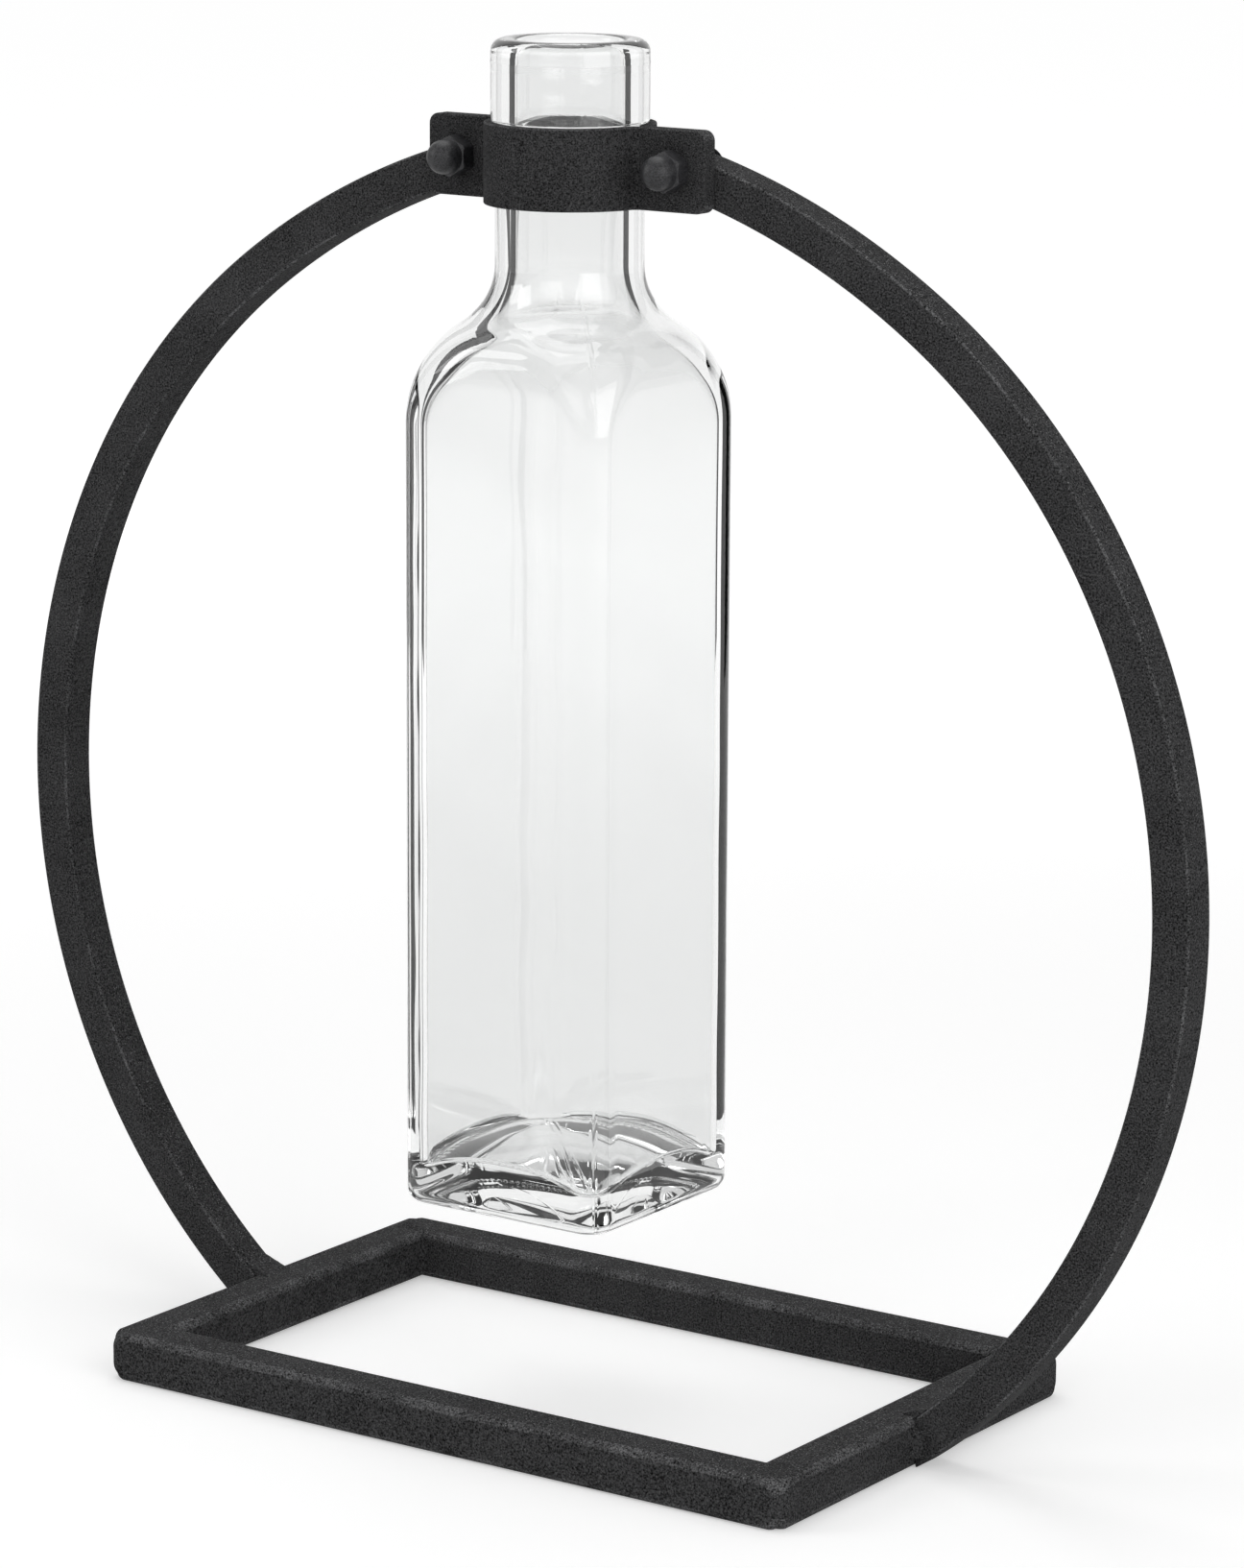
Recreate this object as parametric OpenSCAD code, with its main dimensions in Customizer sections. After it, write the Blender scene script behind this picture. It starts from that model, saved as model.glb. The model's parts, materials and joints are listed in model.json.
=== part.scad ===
// Bottle vase hung in a round iron hoop that stands on a rectangular bar base.
// The hoop lies in the XZ plane, the cap nuts face -Y and the base rests on Z = 0.
// The origin is the middle of the base's underside.

/* [Base] */
// Length of the base along the hoop
base_l = 160; // [130:1:200]
// Depth of the base across the hoop
base_w = 102; // [70:1:160]
// Side of the square bar that the base is welded from
bar = 10; // [7:0.5:14]
// Rounding of the base bars' long edges
bar_edge_r = 1.8; // [0.4:0.1:2.4]
// Rounding of the base's four outer corners
base_corner_r = 3; // [0.5:0.1:5]
// Radius of the weld in each inner corner
corner_weld_r = 1.4; // [0.8:0.1:4]

/* [Hoop] */
// Outer radius of the hoop
hoop_r = 136.2; // [125:0.1:170]
// Side of the square bar that the hoop is rolled from
hoop_bar = 8; // [6:0.5:10]
// Width of the small bevel along the hoop bar's edges
hoop_edge = 0.5; // [0.2:0.1:1.2]
// Outer radius of the flatter stretch at each arm's upper end
flare_r = 165; // [150:1:220]
// Angle from the top of the hoop at which the flatter stretch begins
flare_from = 35; // [25:1:50]
// Gap between the collar and each arm's cut end
arm_end_gap = 2.8; // [2:0.1:3.4]
// Radius of the upright weld on each side of a hoop foot
foot_weld_r = 2.2; // [1.5:0.1:4]
// Reach of the weld on top of the base bar at a hoop foot
foot_weld_reach = 3.6; // [2:0.1:5]

/* [Collar] */
// Height of the two collar straps
strap_h = 15.5; // [12:0.5:20]
// Thickness of the collar straps
strap_t = 1.8; // [1.4:0.1:2.4]
// Radial play of the neck in the collar
collar_play = 0.4; // [0.3:0.05:0.7]
// Bend radius where a strap turns out into its ears
bend_r = 1.5; // [0.8:0.1:2.5]
// Length of each ear outside the collar
ear_l = 15.4; // [12:0.1:20]
// Corner rounding of the ears
ear_corner_r = 2; // [0.5:0.1:4]
// Share of the hoop bar's spare height by which the bolts sit over its middle
clamp_rise_share = 0.8; // [0:0.05:0.9]

/* [Bolts and nuts] */
// Diameter of the clamp bolts
bolt_d = 4; // [3:0.5:4]
// Play of a bolt in its holes, on the diameter
hole_play = 0.4; // [0.2:0.1:0.5]
// Play of a nut on its bolt, on the diameter
thread_play = 0.1; // [0.06:0.02:0.16]
// Width across flats of the cap nuts
nut_af = 7; // [6:0.5:8]
// Height of the hexagon of a cap nut
nut_hex_h = 3.4; // [2.5:0.1:4.5]
// Diameter of the dome of a cap nut
dome_d = 6.6; // [5.5:0.1:7.5]
// Whole height of a cap nut
nut_h = 8.2; // [7:0.1:10]
// Wall left between the bolt hole and the top of the dome
dome_wall = 1.5; // [1:0.1:2]
// Gap between a bolt's tip and the end of its nut's hole
tip_gap = 0.8; // [0.5:0.1:1.5]
// Diameter of the bolt heads
head_d = 7.6; // [6:0.1:8]
// Height of the bolt heads
head_h = 2.2; // [1.8:0.1:3]
// Width across flats of the socket in a bolt head
socket_af = 2.5; // [2:0.5:3]
// Depth of the socket in a bolt head
socket_depth = 1.3; // [0.8:0.1:1.6]

/* [Bottle] */
// Height of the bottle
bottle_h = 225.5; // [190:0.5:230]
// Width of the square body
body_w = 48; // [42:1:60]
// Radius of the body's upright corners
body_corner_r = 6; // [4:0.5:10]
// Thickness of the body's glass wall
glass_t = 3.2; // [2:0.1:4]
// Thickness of the bottle's floor at its corners
floor_t = 6; // [5:0.5:10]
// Rise of the floor's middle over its corners, inside
punt_h = 6.5; // [2:0.5:8]
// Rounding of the body's lower edge
heel_r = 3; // [2:0.5:6]
// Width of the flat rim that the bottle would stand on
bearing_w = 2.5; // [1.5:0.5:5]
// Depth of the hollow under the bottle
hollow_depth = 1.6; // [0.5:0.1:3]
// Outer diameter of the neck
neck_d = 28.4; // [26:0.1:32]
// Diameter of the mouth and the bore through the neck
bore_d = 20.4; // [16:0.1:22]
// Length of the straight neck under the finish
neck_l = 26.8; // [22:0.1:36]
// Radius of the hollow curve from the neck to the shoulder
neck_curve_r = 13; // [9:0.5:15]
// Radius of the shoulder over the body's corners
corner_shoulder_r = 22; // [18:0.5:24]
// Radius of the shoulder over the body's flat sides
face_shoulder_r = 14; // [10:0.5:17]
// Outer diameter of the finish, the thick band round the mouth
finish_d = 30.2; // [30:0.1:34]
// Height of the finish
finish_h = 15.6; // [10:0.1:20]
// Rounding of the lip's outer edge
lip_r = 2.4; // [1:0.1:3]
// Rounding of the lip's inner edge
mouth_r = 1.2; // [0.5:0.1:1.6]
// Rounding of the finish's lower edge
finish_under_r = 0.3; // [0.1:0.05:0.4]

/* [Hidden] */
$fn = 96;
over = 1; // overrun of every cut
foot_over = 4; // degrees by which the hoop's bar overruns its foot before it is cut
face_ease = 1.5; // how far the flat sides' shoulder stands off the round neck
corner_ease = 0.5; // how far the round shoulder stands off the body's corners
iron = [0.17, 0.17, 0.175];
glass = [0.86, 0.9, 0.9, 0.35];
left = -1;
right = 1;
front = -1;
back = 1;

// Hoop
hoop_cz = sqrt(pow(hoop_r, 2) - pow(base_l / 2, 2));
flare_shift = flare_r - hoop_r;
flare_x = flare_shift * sin(flare_from);
flare_z = hoop_cz - flare_shift * cos(flare_from);
foot_at = 90 + acos(base_l / 2 / hoop_r);
foot_slope = asin(base_l / 2 / (hoop_r - hoop_bar));
foot_weld_low = hoop_cz + hoop_edge - sqrt(pow(hoop_r, 2) - pow(base_l / 2 + foot_weld_r, 2));

// Collar
neck_r = neck_d / 2;
collar_in = neck_r + collar_play;
collar_out = collar_in + strap_t;
collar_y = -(hoop_bar / 2 + strap_t);
bend_y = strap_t + bend_r;
bend_x = sqrt(pow(collar_out + bend_r, 2) - pow(bend_y, 2));
ear_out = collar_out + ear_l;
bolt_x = (bend_x + ear_out) / 2;
arm_end_at = asin((collar_out + arm_end_gap + flare_x) / (flare_r - hoop_bar));
arm_mid_r = flare_r - hoop_bar / 2;
hole_r = (bolt_d + hole_play) / 2;
clamp_rise = clamp_rise_share * (hoop_bar / 2 - hoop_edge - hole_r);
bolt_z = flare_z + sqrt(pow(arm_mid_r, 2) - pow(bolt_x + flare_x, 2)) + clamp_rise;
collar_top = bolt_z + strap_h / 2;
collar_low = collar_top - strap_h;

// Bolts and nuts
head_y = hoop_bar / 2;
nut_y = collar_y - strap_t;
nut_hole_h = nut_h - dome_wall;
bolt_l = head_y - nut_y + nut_hole_h - tip_gap;
nut_corner_r = nut_af / sqrt(3);
socket_corner_r = socket_af / sqrt(3);
head_ball_r = (pow(head_d / 2, 2) + pow(head_h, 2)) / (2 * head_h);

// Bottle
bottle_top = collar_top + finish_h;
bottle_low = bottle_top - bottle_h;
bore_r = bore_d / 2;
neck_t = neck_r - bore_r;
neck_low = collar_top - neck_l;
in_low = bottle_low + floor_t;
body_half = body_w / 2;
corner_reach = (body_half - body_corner_r) * sqrt(2) + body_corner_r;
in_corner_r = body_corner_r - glass_t / 2;
in_half = body_half - glass_t;
in_corner_reach = (in_half - in_corner_r) * sqrt(2) + in_corner_r;
in_heel_r = heel_r / 2;
punt_r = (pow(in_corner_reach, 2) + pow(punt_h, 2)) / (2 * punt_h);
hollow_r = body_half - heel_r - bearing_w;
hollow_ball_r = (pow(hollow_r, 2) + pow(hollow_depth, 2)) / (2 * hollow_depth);

// Plain helpers

// Rectangle with round corners, centred on the origin
module round_rect(w, h, r) {
    square([w - 2 * r, h], center = true);
    square([w, h - 2 * r], center = true);
    for (x = [-1, 1], y = [-1, 1])
        translate([x * (w / 2 - r), y * (h / 2 - r)]) circle(r);
}

// Lays a drawing in the XZ plane and gives it a thickness along Y, centred on Y = 0
module upright(thickness) {
    rotate([90, 0, 0]) linear_extrude(thickness, center = true) children();
}

// Stands a shape that grows along +Z at a bolt, growing to the front
module at_bolt(side, y) {
    translate([side * bolt_x, y, bolt_z]) rotate([90, 0, 0]) children();
}

// Base

// Solid block of the whole base that rounds its outer edges and corners
module base_block() {
    intersection() {
        linear_extrude(bar) round_rect(base_l, base_w, base_corner_r);
        translate([0, 0, bar / 2]) rotate([90, 0, 90]) linear_extrude(base_l, center = true)
            round_rect(base_w, bar, bar_edge_r);
        translate([0, 0, bar / 2]) upright(base_w) round_rect(base_l, bar, bar_edge_r);
    }
}

// Front or back bar, full length, ground flush with the end bars at both ends
module long_bar(side) {
    intersection() {
        translate([0, side * (base_w - bar) / 2, bar / 2]) {
            rotate([90, 0, 90]) linear_extrude(base_l, center = true)
                round_rect(bar, bar, bar_edge_r);
            for (x = [left, right])
                translate([x * (base_l - bar) / 2, 0, 0]) upright(bar)
                    round_rect(bar, bar, bar_edge_r);
        }
        base_block();
    }
}

module end_bar(side) {
    translate([side * (base_l - bar) / 2, 0, bar / 2]) upright(base_w - 2 * bar)
        round_rect(bar, bar, bar_edge_r);
}

// Hollow fillet in the inner corner between a long bar and an end bar
module corner_weld(x, y) {
    translate([x * (base_l / 2 - bar), y * (base_w / 2 - bar), bar_edge_r])
        linear_extrude(bar - 2 * bar_edge_r) difference() {
            translate([-(x + 1) / 2 * corner_weld_r, -(y + 1) / 2 * corner_weld_r])
                square(corner_weld_r);
            translate([-x * corner_weld_r, -y * corner_weld_r]) circle(corner_weld_r);
        }
}

// Hoop

// Section of the hoop's bar, with its inner edge on the right of the Y axis
module hoop_section(inner) {
    outer = inner + hoop_bar;
    half = hoop_bar / 2;
    polygon([[inner + hoop_edge, -half], [outer - hoop_edge, -half], [outer, hoop_edge - half],
             [outer, half - hoop_edge], [outer - hoop_edge, half], [inner + hoop_edge, half],
             [inner, half - hoop_edge], [inner, hoop_edge - half]]);
}

// Bar rolled to one radius: its outer edge starts at the origin, runs off along +Y and turns left
module rolled_bar(outer, turn) {
    translate([-outer, 0, 0]) rotate_extrude(angle = turn, $fn = 360)
        hoop_section(outer - hoop_bar);
}

// Right arm, from its foot on the end bar to its square cut end beside the collar
module right_arm() {
    difference() {
        // both stretches are rolled from the point where the arm flattens
        translate([hoop_r * sin(flare_from), 0, hoop_cz + hoop_r * cos(flare_from)])
            rotate([90, 0, 0]) rotate(90 - flare_from) {
                rolled_bar(flare_r, flare_from - arm_end_at);
                mirror([0, 1, 0]) rolled_bar(hoop_r, foot_at + foot_over - flare_from);
            }
        // the foot is cut upright against the end bar
        translate([base_l / 2 - hoop_r, 0, hoop_cz - hoop_r])
            cube([2 * hoop_r, 2 * hoop_bar, 2 * hoop_r], center = true);
        at_bolt(right, head_y + over) cylinder(hoop_bar + 2 * over, r = hole_r);
    }
}

module arm(side) {
    mirror([side == left ? 1 : 0, 0, 0]) right_arm();
}

// Upright fillet between the end bar's outer face and one side of the hoop's foot
module foot_side_weld(side, y) {
    mirror([side == left ? 1 : 0, 0, 0])
        translate([base_l / 2, y * hoop_bar / 2, foot_weld_low])
            linear_extrude(bar - bar_edge_r - foot_weld_low) difference() {
                translate([0, (y - 1) / 2 * foot_weld_r]) square(foot_weld_r);
                translate([foot_weld_r, y * foot_weld_r]) circle(foot_weld_r);
            }
}

// Bead on top of the end bar that runs up the inner curve of the hoop's foot
module foot_top_weld(side) {
    mirror([side == left ? 1 : 0, 0, 0]) difference() {
        translate([base_l / 2, 0, bar]) upright(hoop_bar - 2 * hoop_edge)
            polygon([[-foot_weld_reach, 0], [-bar_edge_r, -bar_edge_r], [0, -bar_edge_r],
                     foot_weld_reach * [cos(foot_slope), sin(foot_slope)]]);
        translate([0, 0, hoop_cz]) rotate([90, 0, 0])
            rotate_extrude($fn = 360) hoop_section(hoop_r - hoop_bar);
        end_bar(right);
    }
}

// Collar

// Corner between the collar and an ear, less the round that is left over from the bend
module bend_corner(side, r) {
    mirror([side == left ? 1 : 0, 0]) difference() {
        polygon([[0, 0], [bend_x, -bend_y], [bend_x, 0]]);
        translate([bend_x, -bend_y]) circle(r);
    }
}

// Plan of one strap: half a ring with its open side on Y = 0, bent out into an ear each side
module strap_plan() {
    intersection() {
        difference() {
            union() {
                circle(collar_out);
                translate([-ear_out, -strap_t]) square([2 * ear_out, strap_t]);
                bend_corner(left, bend_r);
                bend_corner(right, bend_r);
            }
            circle(collar_in);
            bend_corner(left, bend_y);
            bend_corner(right, bend_y);
        }
        translate([-ear_out, -collar_out]) square([2 * ear_out, collar_out]);
    }
}

module front_strap_at_rest() {
    difference() {
        intersection() {
            translate([0, collar_y, collar_low]) linear_extrude(strap_h) strap_plan();
            translate([0, collar_y, bolt_z]) upright(2 * collar_out + over)
                round_rect(2 * ear_out, strap_h, ear_corner_r);
        }
        for (side = [left, right])
            at_bolt(side, head_y) cylinder(bolt_l, r = hole_r);
    }
}

module collar_strap(side) {
    translate([0, collar_y, 0]) mirror([0, side == back ? 1 : 0, 0])
        translate([0, -collar_y, 0]) front_strap_at_rest();
}

// Bolts and nuts

module clamp_bolt(side) {
    at_bolt(side, head_y) cylinder(bolt_l, d = bolt_d);
    translate([side * bolt_x, head_y, bolt_z]) rotate([-90, 0, 0]) difference() {
        intersection() {
            cylinder(head_h, d = head_d);
            translate([0, 0, head_h - head_ball_r]) sphere(head_ball_r);
        }
        translate([0, 0, head_h - socket_depth]) cylinder(head_h, r = socket_corner_r, $fn = 6);
    }
}

module cap_nut(side) {
    hex_top_r = dome_d / 2;
    chamfer_h = (nut_corner_r - hex_top_r) / sqrt(3);
    dome_r = dome_d / 2;
    at_bolt(side, nut_y) difference() {
        union() {
            intersection() {
                rotate(30) cylinder(nut_hex_h, r = nut_corner_r, $fn = 6);
                rotate_extrude() polygon([[0, 0], [nut_corner_r, 0],
                                          [nut_corner_r, nut_hex_h - chamfer_h],
                                          [hex_top_r, nut_hex_h], [0, nut_hex_h]]);
            }
            cylinder(nut_h - dome_r, r = dome_r);
            translate([0, 0, nut_h - dome_r]) sphere(dome_r);
        }
        translate([0, 0, -over]) cylinder(nut_hole_h + over, d = bolt_d + thread_play);
    }
}

// Bottle

// Right half of an upright section: straight neck, hollow curve, round shoulder, round heel
module half_section(half, neck, curve_r, shoulder_r, foot_r, low, curve_z, top) {
    shoulder_x = half - shoulder_r;
    shoulder_z = curve_z - sqrt(pow(curve_r + shoulder_r, 2)
                                - pow(neck + curve_r - shoulder_x, 2));
    translate([0, low]) square([neck, top - low]);
    difference() {
        polygon([[0, low + foot_r], [shoulder_x, low + foot_r], [shoulder_x, shoulder_z],
                 [neck + curve_r, curve_z], [0, curve_z]]);
        translate([neck + curve_r, curve_z]) circle(curve_r);
    }
    intersection() {
        translate([shoulder_x, shoulder_z]) circle(shoulder_r);
        translate([0, low + foot_r]) square([half + over, curve_z - low - foot_r]);
    }
    translate([0, low + foot_r]) square([half, shoulder_z - low - foot_r]);
    translate([0, low]) square([half - foot_r, 2 * foot_r]);
    translate([half - foot_r, low + foot_r]) circle(foot_r);
}

// Square column whose four flat sides round over to the neck and to the heel
module square_form(half, corner_r, neck, curve_r, shoulder_r, foot_r, low, top) {
    intersection() {
        translate([0, 0, low]) linear_extrude(top - low)
            round_rect(2 * half, 2 * half, corner_r);
        for_both_ways() upright(4 * half) for (m = [0, 1]) mirror([m, 0])
            half_section(half, neck + face_ease, curve_r, shoulder_r, foot_r, low, neck_low, top);
    }
}

// Keeps what the children cover both from the front and from the side
module for_both_ways() {
    intersection() {
        children();
        rotate(90) children();
    }
}

// Square body under a round neck: the corners round over to the neck in one turned form
module bottle_form(half, corner_r, reach, neck, curve_r, grow, foot_r, low, top) {
    intersection() {
        rotate_extrude()
            half_section(reach + corner_ease, neck, curve_r, corner_shoulder_r + corner_ease - grow,
                         foot_r + corner_ease, low, neck_low, top);
        square_form(half, corner_r, neck, curve_r, face_shoulder_r - grow, foot_r, low, top);
    }
}

// Section of the finish and of the bore through it, both round
module finish_section() {
    translate([0, collar_top + finish_under_r])
        square([finish_d / 2, finish_h - finish_under_r - lip_r]);
    translate([0, collar_top]) square([finish_d / 2 - finish_under_r, finish_h - lip_r]);
    translate([finish_d / 2 - finish_under_r, collar_top + finish_under_r])
        circle(finish_under_r);
    translate([0, collar_top]) square([finish_d / 2 - lip_r, finish_h]);
    translate([finish_d / 2 - lip_r, bottle_top - lip_r]) circle(lip_r);
}

module bottle() {
    translate([0, collar_y, 0]) difference() {
        union() {
            bottle_form(body_half, body_corner_r, corner_reach, neck_r, neck_curve_r, 0,
                        heel_r, bottle_low, collar_top + finish_h / 2);
            rotate_extrude() finish_section();
        }
        difference() {
            bottle_form(in_half, in_corner_r, in_corner_reach, bore_r, neck_curve_r + neck_t,
                        glass_t, in_heel_r, in_low, bottle_top + over);
            translate([0, 0, in_low + punt_h - punt_r]) sphere(punt_r);
        }
        // round inner edge of the lip
        translate([0, 0, bottle_top - mouth_r]) rotate_extrude() difference() {
            square([bore_r + mouth_r, mouth_r + over]);
            translate([bore_r + mouth_r, 0]) circle(mouth_r);
        }
        // shallow hollow under the bottle
        translate([0, 0, bottle_low + hollow_depth - hollow_ball_r]) sphere(hollow_ball_r);
    }
}

// Pieces, each in its own colour

module base_front_bar() { color(iron) long_bar(front); }
module base_back_bar() { color(iron) long_bar(back); }
module base_left_bar() { color(iron) end_bar(left); }
module base_right_bar() { color(iron) end_bar(right); }
module base_weld_front_left() { color(iron) corner_weld(left, front); }
module base_weld_front_right() { color(iron) corner_weld(right, front); }
module base_weld_back_left() { color(iron) corner_weld(left, back); }
module base_weld_back_right() { color(iron) corner_weld(right, back); }
module hoop_left_arm() { color(iron) arm(left); }
module hoop_right_arm() { color(iron) arm(right); }
module foot_weld_left_front() { color(iron) foot_side_weld(left, front); }
module foot_weld_left_back() { color(iron) foot_side_weld(left, back); }
module foot_weld_left_top() { color(iron) foot_top_weld(left); }
module foot_weld_right_front() { color(iron) foot_side_weld(right, front); }
module foot_weld_right_back() { color(iron) foot_side_weld(right, back); }
module foot_weld_right_top() { color(iron) foot_top_weld(right); }
module collar_back_strap() { color(iron) collar_strap(back); }
module collar_front_strap() { color(iron) collar_strap(front); }
module clamp_left_bolt() { color(iron) clamp_bolt(left); }
module clamp_right_bolt() { color(iron) clamp_bolt(right); }
module clamp_left_cap_nut() { color(iron) cap_nut(left); }
module clamp_right_cap_nut() { color(iron) cap_nut(right); }
module glass_bottle() { color(glass) bottle(); }

base_front_bar();
base_back_bar();
base_left_bar();
base_right_bar();
base_weld_front_left();
base_weld_front_right();
base_weld_back_left();
base_weld_back_right();
hoop_left_arm();
hoop_right_arm();
foot_weld_left_front();
foot_weld_left_back();
foot_weld_left_top();
foot_weld_right_front();
foot_weld_right_back();
foot_weld_right_top();
collar_back_strap();
collar_front_strap();
clamp_left_bolt();
clamp_right_bolt();
clamp_left_cap_nut();
clamp_right_cap_nut();
glass_bottle();
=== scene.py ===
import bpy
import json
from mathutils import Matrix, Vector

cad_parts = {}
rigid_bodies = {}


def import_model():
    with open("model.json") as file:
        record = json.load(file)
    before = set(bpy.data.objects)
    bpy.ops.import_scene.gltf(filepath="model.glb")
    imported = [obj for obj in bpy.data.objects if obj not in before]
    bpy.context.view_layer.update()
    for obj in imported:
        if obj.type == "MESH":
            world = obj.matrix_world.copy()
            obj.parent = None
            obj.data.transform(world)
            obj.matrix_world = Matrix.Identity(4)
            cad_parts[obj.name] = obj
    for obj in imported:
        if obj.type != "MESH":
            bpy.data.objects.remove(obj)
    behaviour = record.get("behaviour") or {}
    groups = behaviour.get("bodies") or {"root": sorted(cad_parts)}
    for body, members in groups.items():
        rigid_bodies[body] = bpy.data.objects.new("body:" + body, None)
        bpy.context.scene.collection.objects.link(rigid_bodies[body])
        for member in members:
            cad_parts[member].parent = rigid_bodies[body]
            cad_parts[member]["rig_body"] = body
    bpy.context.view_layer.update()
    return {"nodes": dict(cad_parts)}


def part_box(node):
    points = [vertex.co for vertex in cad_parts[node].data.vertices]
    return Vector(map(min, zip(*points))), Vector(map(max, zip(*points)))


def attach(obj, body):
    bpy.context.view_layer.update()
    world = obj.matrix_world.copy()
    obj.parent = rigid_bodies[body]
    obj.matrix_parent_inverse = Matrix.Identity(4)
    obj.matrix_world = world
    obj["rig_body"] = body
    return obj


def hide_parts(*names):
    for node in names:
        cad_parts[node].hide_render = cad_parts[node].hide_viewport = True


bl_info = {
    "name": "Bottle in a Hoop Stand",
    "version": (1, 0, 0),
    "blender": (4, 5, 0),
    "location": "3D View > Sidebar > Bottle Stand",
    "description": "Dresses a bottle vase, its iron hoop stand and the collar that clamps its neck",
    "category": "Add Mesh",
}

import json
import math
import random

import bmesh
import bpy
from bpy.props import FloatProperty, FloatVectorProperty, IntProperty, PointerProperty
from mathutils import Matrix, Vector

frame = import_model()

LEFT, RIGHT = -1, 1
SIDES = {"left": LEFT, "right": RIGHT}
ENDS = {"front": -1, "back": 1}

# Boxes of the metal pieces at rest, from which the dressed pieces take their places
BASE_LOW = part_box("base_front_bar")[0]
BASE_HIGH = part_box("base_back_bar")[1]
ARM_LOW, ARM_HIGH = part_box("hoop_right_arm")
STRAP_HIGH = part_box("collar_front_strap")[1]
BOLT_LOW, BOLT_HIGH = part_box("clamp_right_bolt")
NUT_LOW, NUT_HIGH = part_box("clamp_right_cap_nut")
BOTTLE_LOW, BOTTLE_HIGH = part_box("glass_bottle")
BOLT_X = (NUT_LOW.x + NUT_HIGH.x) / 2
BOLT_Z = (BOLT_LOW.z + BOLT_HIGH.z) / 2

# Points closer than this are merged, and faces that bend less than this become one
MERGE = 1e-6
FLAT_BEND = math.radians(0.5)

# Bend from which the shading breaks, on pieces whose settings give no other
CREASE = math.radians(38)

# Tilt of a rounded edge's faces, as the share of their normal along the tested axis
EDGE_TILT = (0.2, 0.98)


def length(name, description, default):
    """A size in metres that a user may change."""
    return FloatProperty(name=name, description=description, default=default,
                         subtype="DISTANCE", unit="LENGTH", precision=5)


def amount(name, description, default, low=0.0):
    """A plain number that a user may change."""
    return FloatProperty(name=name, description=description, default=default, min=low)


def degrees(name, description, default):
    """An angle that a user may change, given in degrees."""
    return FloatProperty(name=name, description=description, default=math.radians(default),
                         subtype="ANGLE", unit="ROTATION")


def whole(name, description, default, low, high):
    """A whole number that a user may change."""
    return IntProperty(name=name, description=description, default=default, min=low, max=high)


def colour(name, description, default):
    """A colour in linear light."""
    return FloatVectorProperty(name=name, description=description, default=default,
                               subtype="COLOR", size=3, min=0.0, max=1.0)


class BaseSettings(bpy.types.PropertyGroup):
    """Sizes of the base's dressing."""
    corner: length("Corner", "Radius to which the base's four outer corners are ground", 0.0033)
    cuts: whole("Cuts", "Steps across a ground corner", 8, 3, 16)


class HoopSettings(bpy.types.PropertyGroup):
    """Sizes of the two arms rolled from square bar."""
    radius: length("Outer radius", "Outer radius of the hoop's main stretch", ARM_HIGH.x)
    bar: length("Bar", "Side of the hoop's square bar", ARM_HIGH.y - ARM_LOW.y)
    edge: length("Edge", "Radius of the bar's worn edges", 0.0007)
    flare_radius: length("Flare radius", "Outer radius of the flatter stretch at the top", 0.165)
    flare_from: degrees("Flare from", "Angle from the top at which an arm flattens", 35)
    foot_overrun: degrees("Foot overrun", "How far the bar is rolled on before its foot is cut", 4)
    hole: length("Hole", "Diameter of the hole for the bolt", 0.0044)
    steps: whole("Steps", "Points along an arm", 170, 20, 400)


class WeldSettings(bpy.types.PropertyGroup):
    """Unevenness of the ground and coated welds."""
    height: length("Unevenness", "How far a weld's skin rises and falls", 0.00016)
    wave: length("Wave", "Size of the lumps on a weld's skin", 0.0011)
    cuts: whole("Cuts", "How often each face of a weld is split", 3, 1, 5)
    crease: degrees("Crease", "Bend from which a weld's shading breaks", 50)


class CollarSettings(bpy.types.PropertyGroup):
    """Softening of the edges of the collar's straps and bolts."""
    strap_edge: length("Strap edge", "Radius of the straps' edges", 0.00028)
    bolt_edge: length("Bolt edge", "Radius of the bolt heads' edges", 0.0002)
    crease: degrees("Crease", "Bend from which an edge counts as an edge", 38)


class NutSettings(bpy.types.PropertyGroup):
    """Sizes of the cap nuts."""
    flats: length("Across flats", "Width of the nut's hexagon across its flats",
                  NUT_HIGH.x - NUT_LOW.x)
    hexagon: length("Hexagon", "Height of the nut's hexagon", 0.0034)
    dome: length("Dome", "Diameter of the cap's dome", 0.0066)
    wall: length("Cap wall", "Thickness of the cap over the bolt's end", 0.0015)
    hole: length("Hole", "Diameter of the nut's blind hole", 0.0041)
    soft: length("Corner", "How far the hexagon's corners are worn back", 0.00012)
    seat: length("Seat", "Depth of the chamfers at the nut's seat", 0.0005)
    fillet: length("Fillet", "Height of the fillet between hexagon and dome", 0.0001)
    columns: whole("Columns", "Points round the nut", 144, 48, 288)
    crease: degrees("Crease", "Bend from which the nut's shading breaks", 28)


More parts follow.
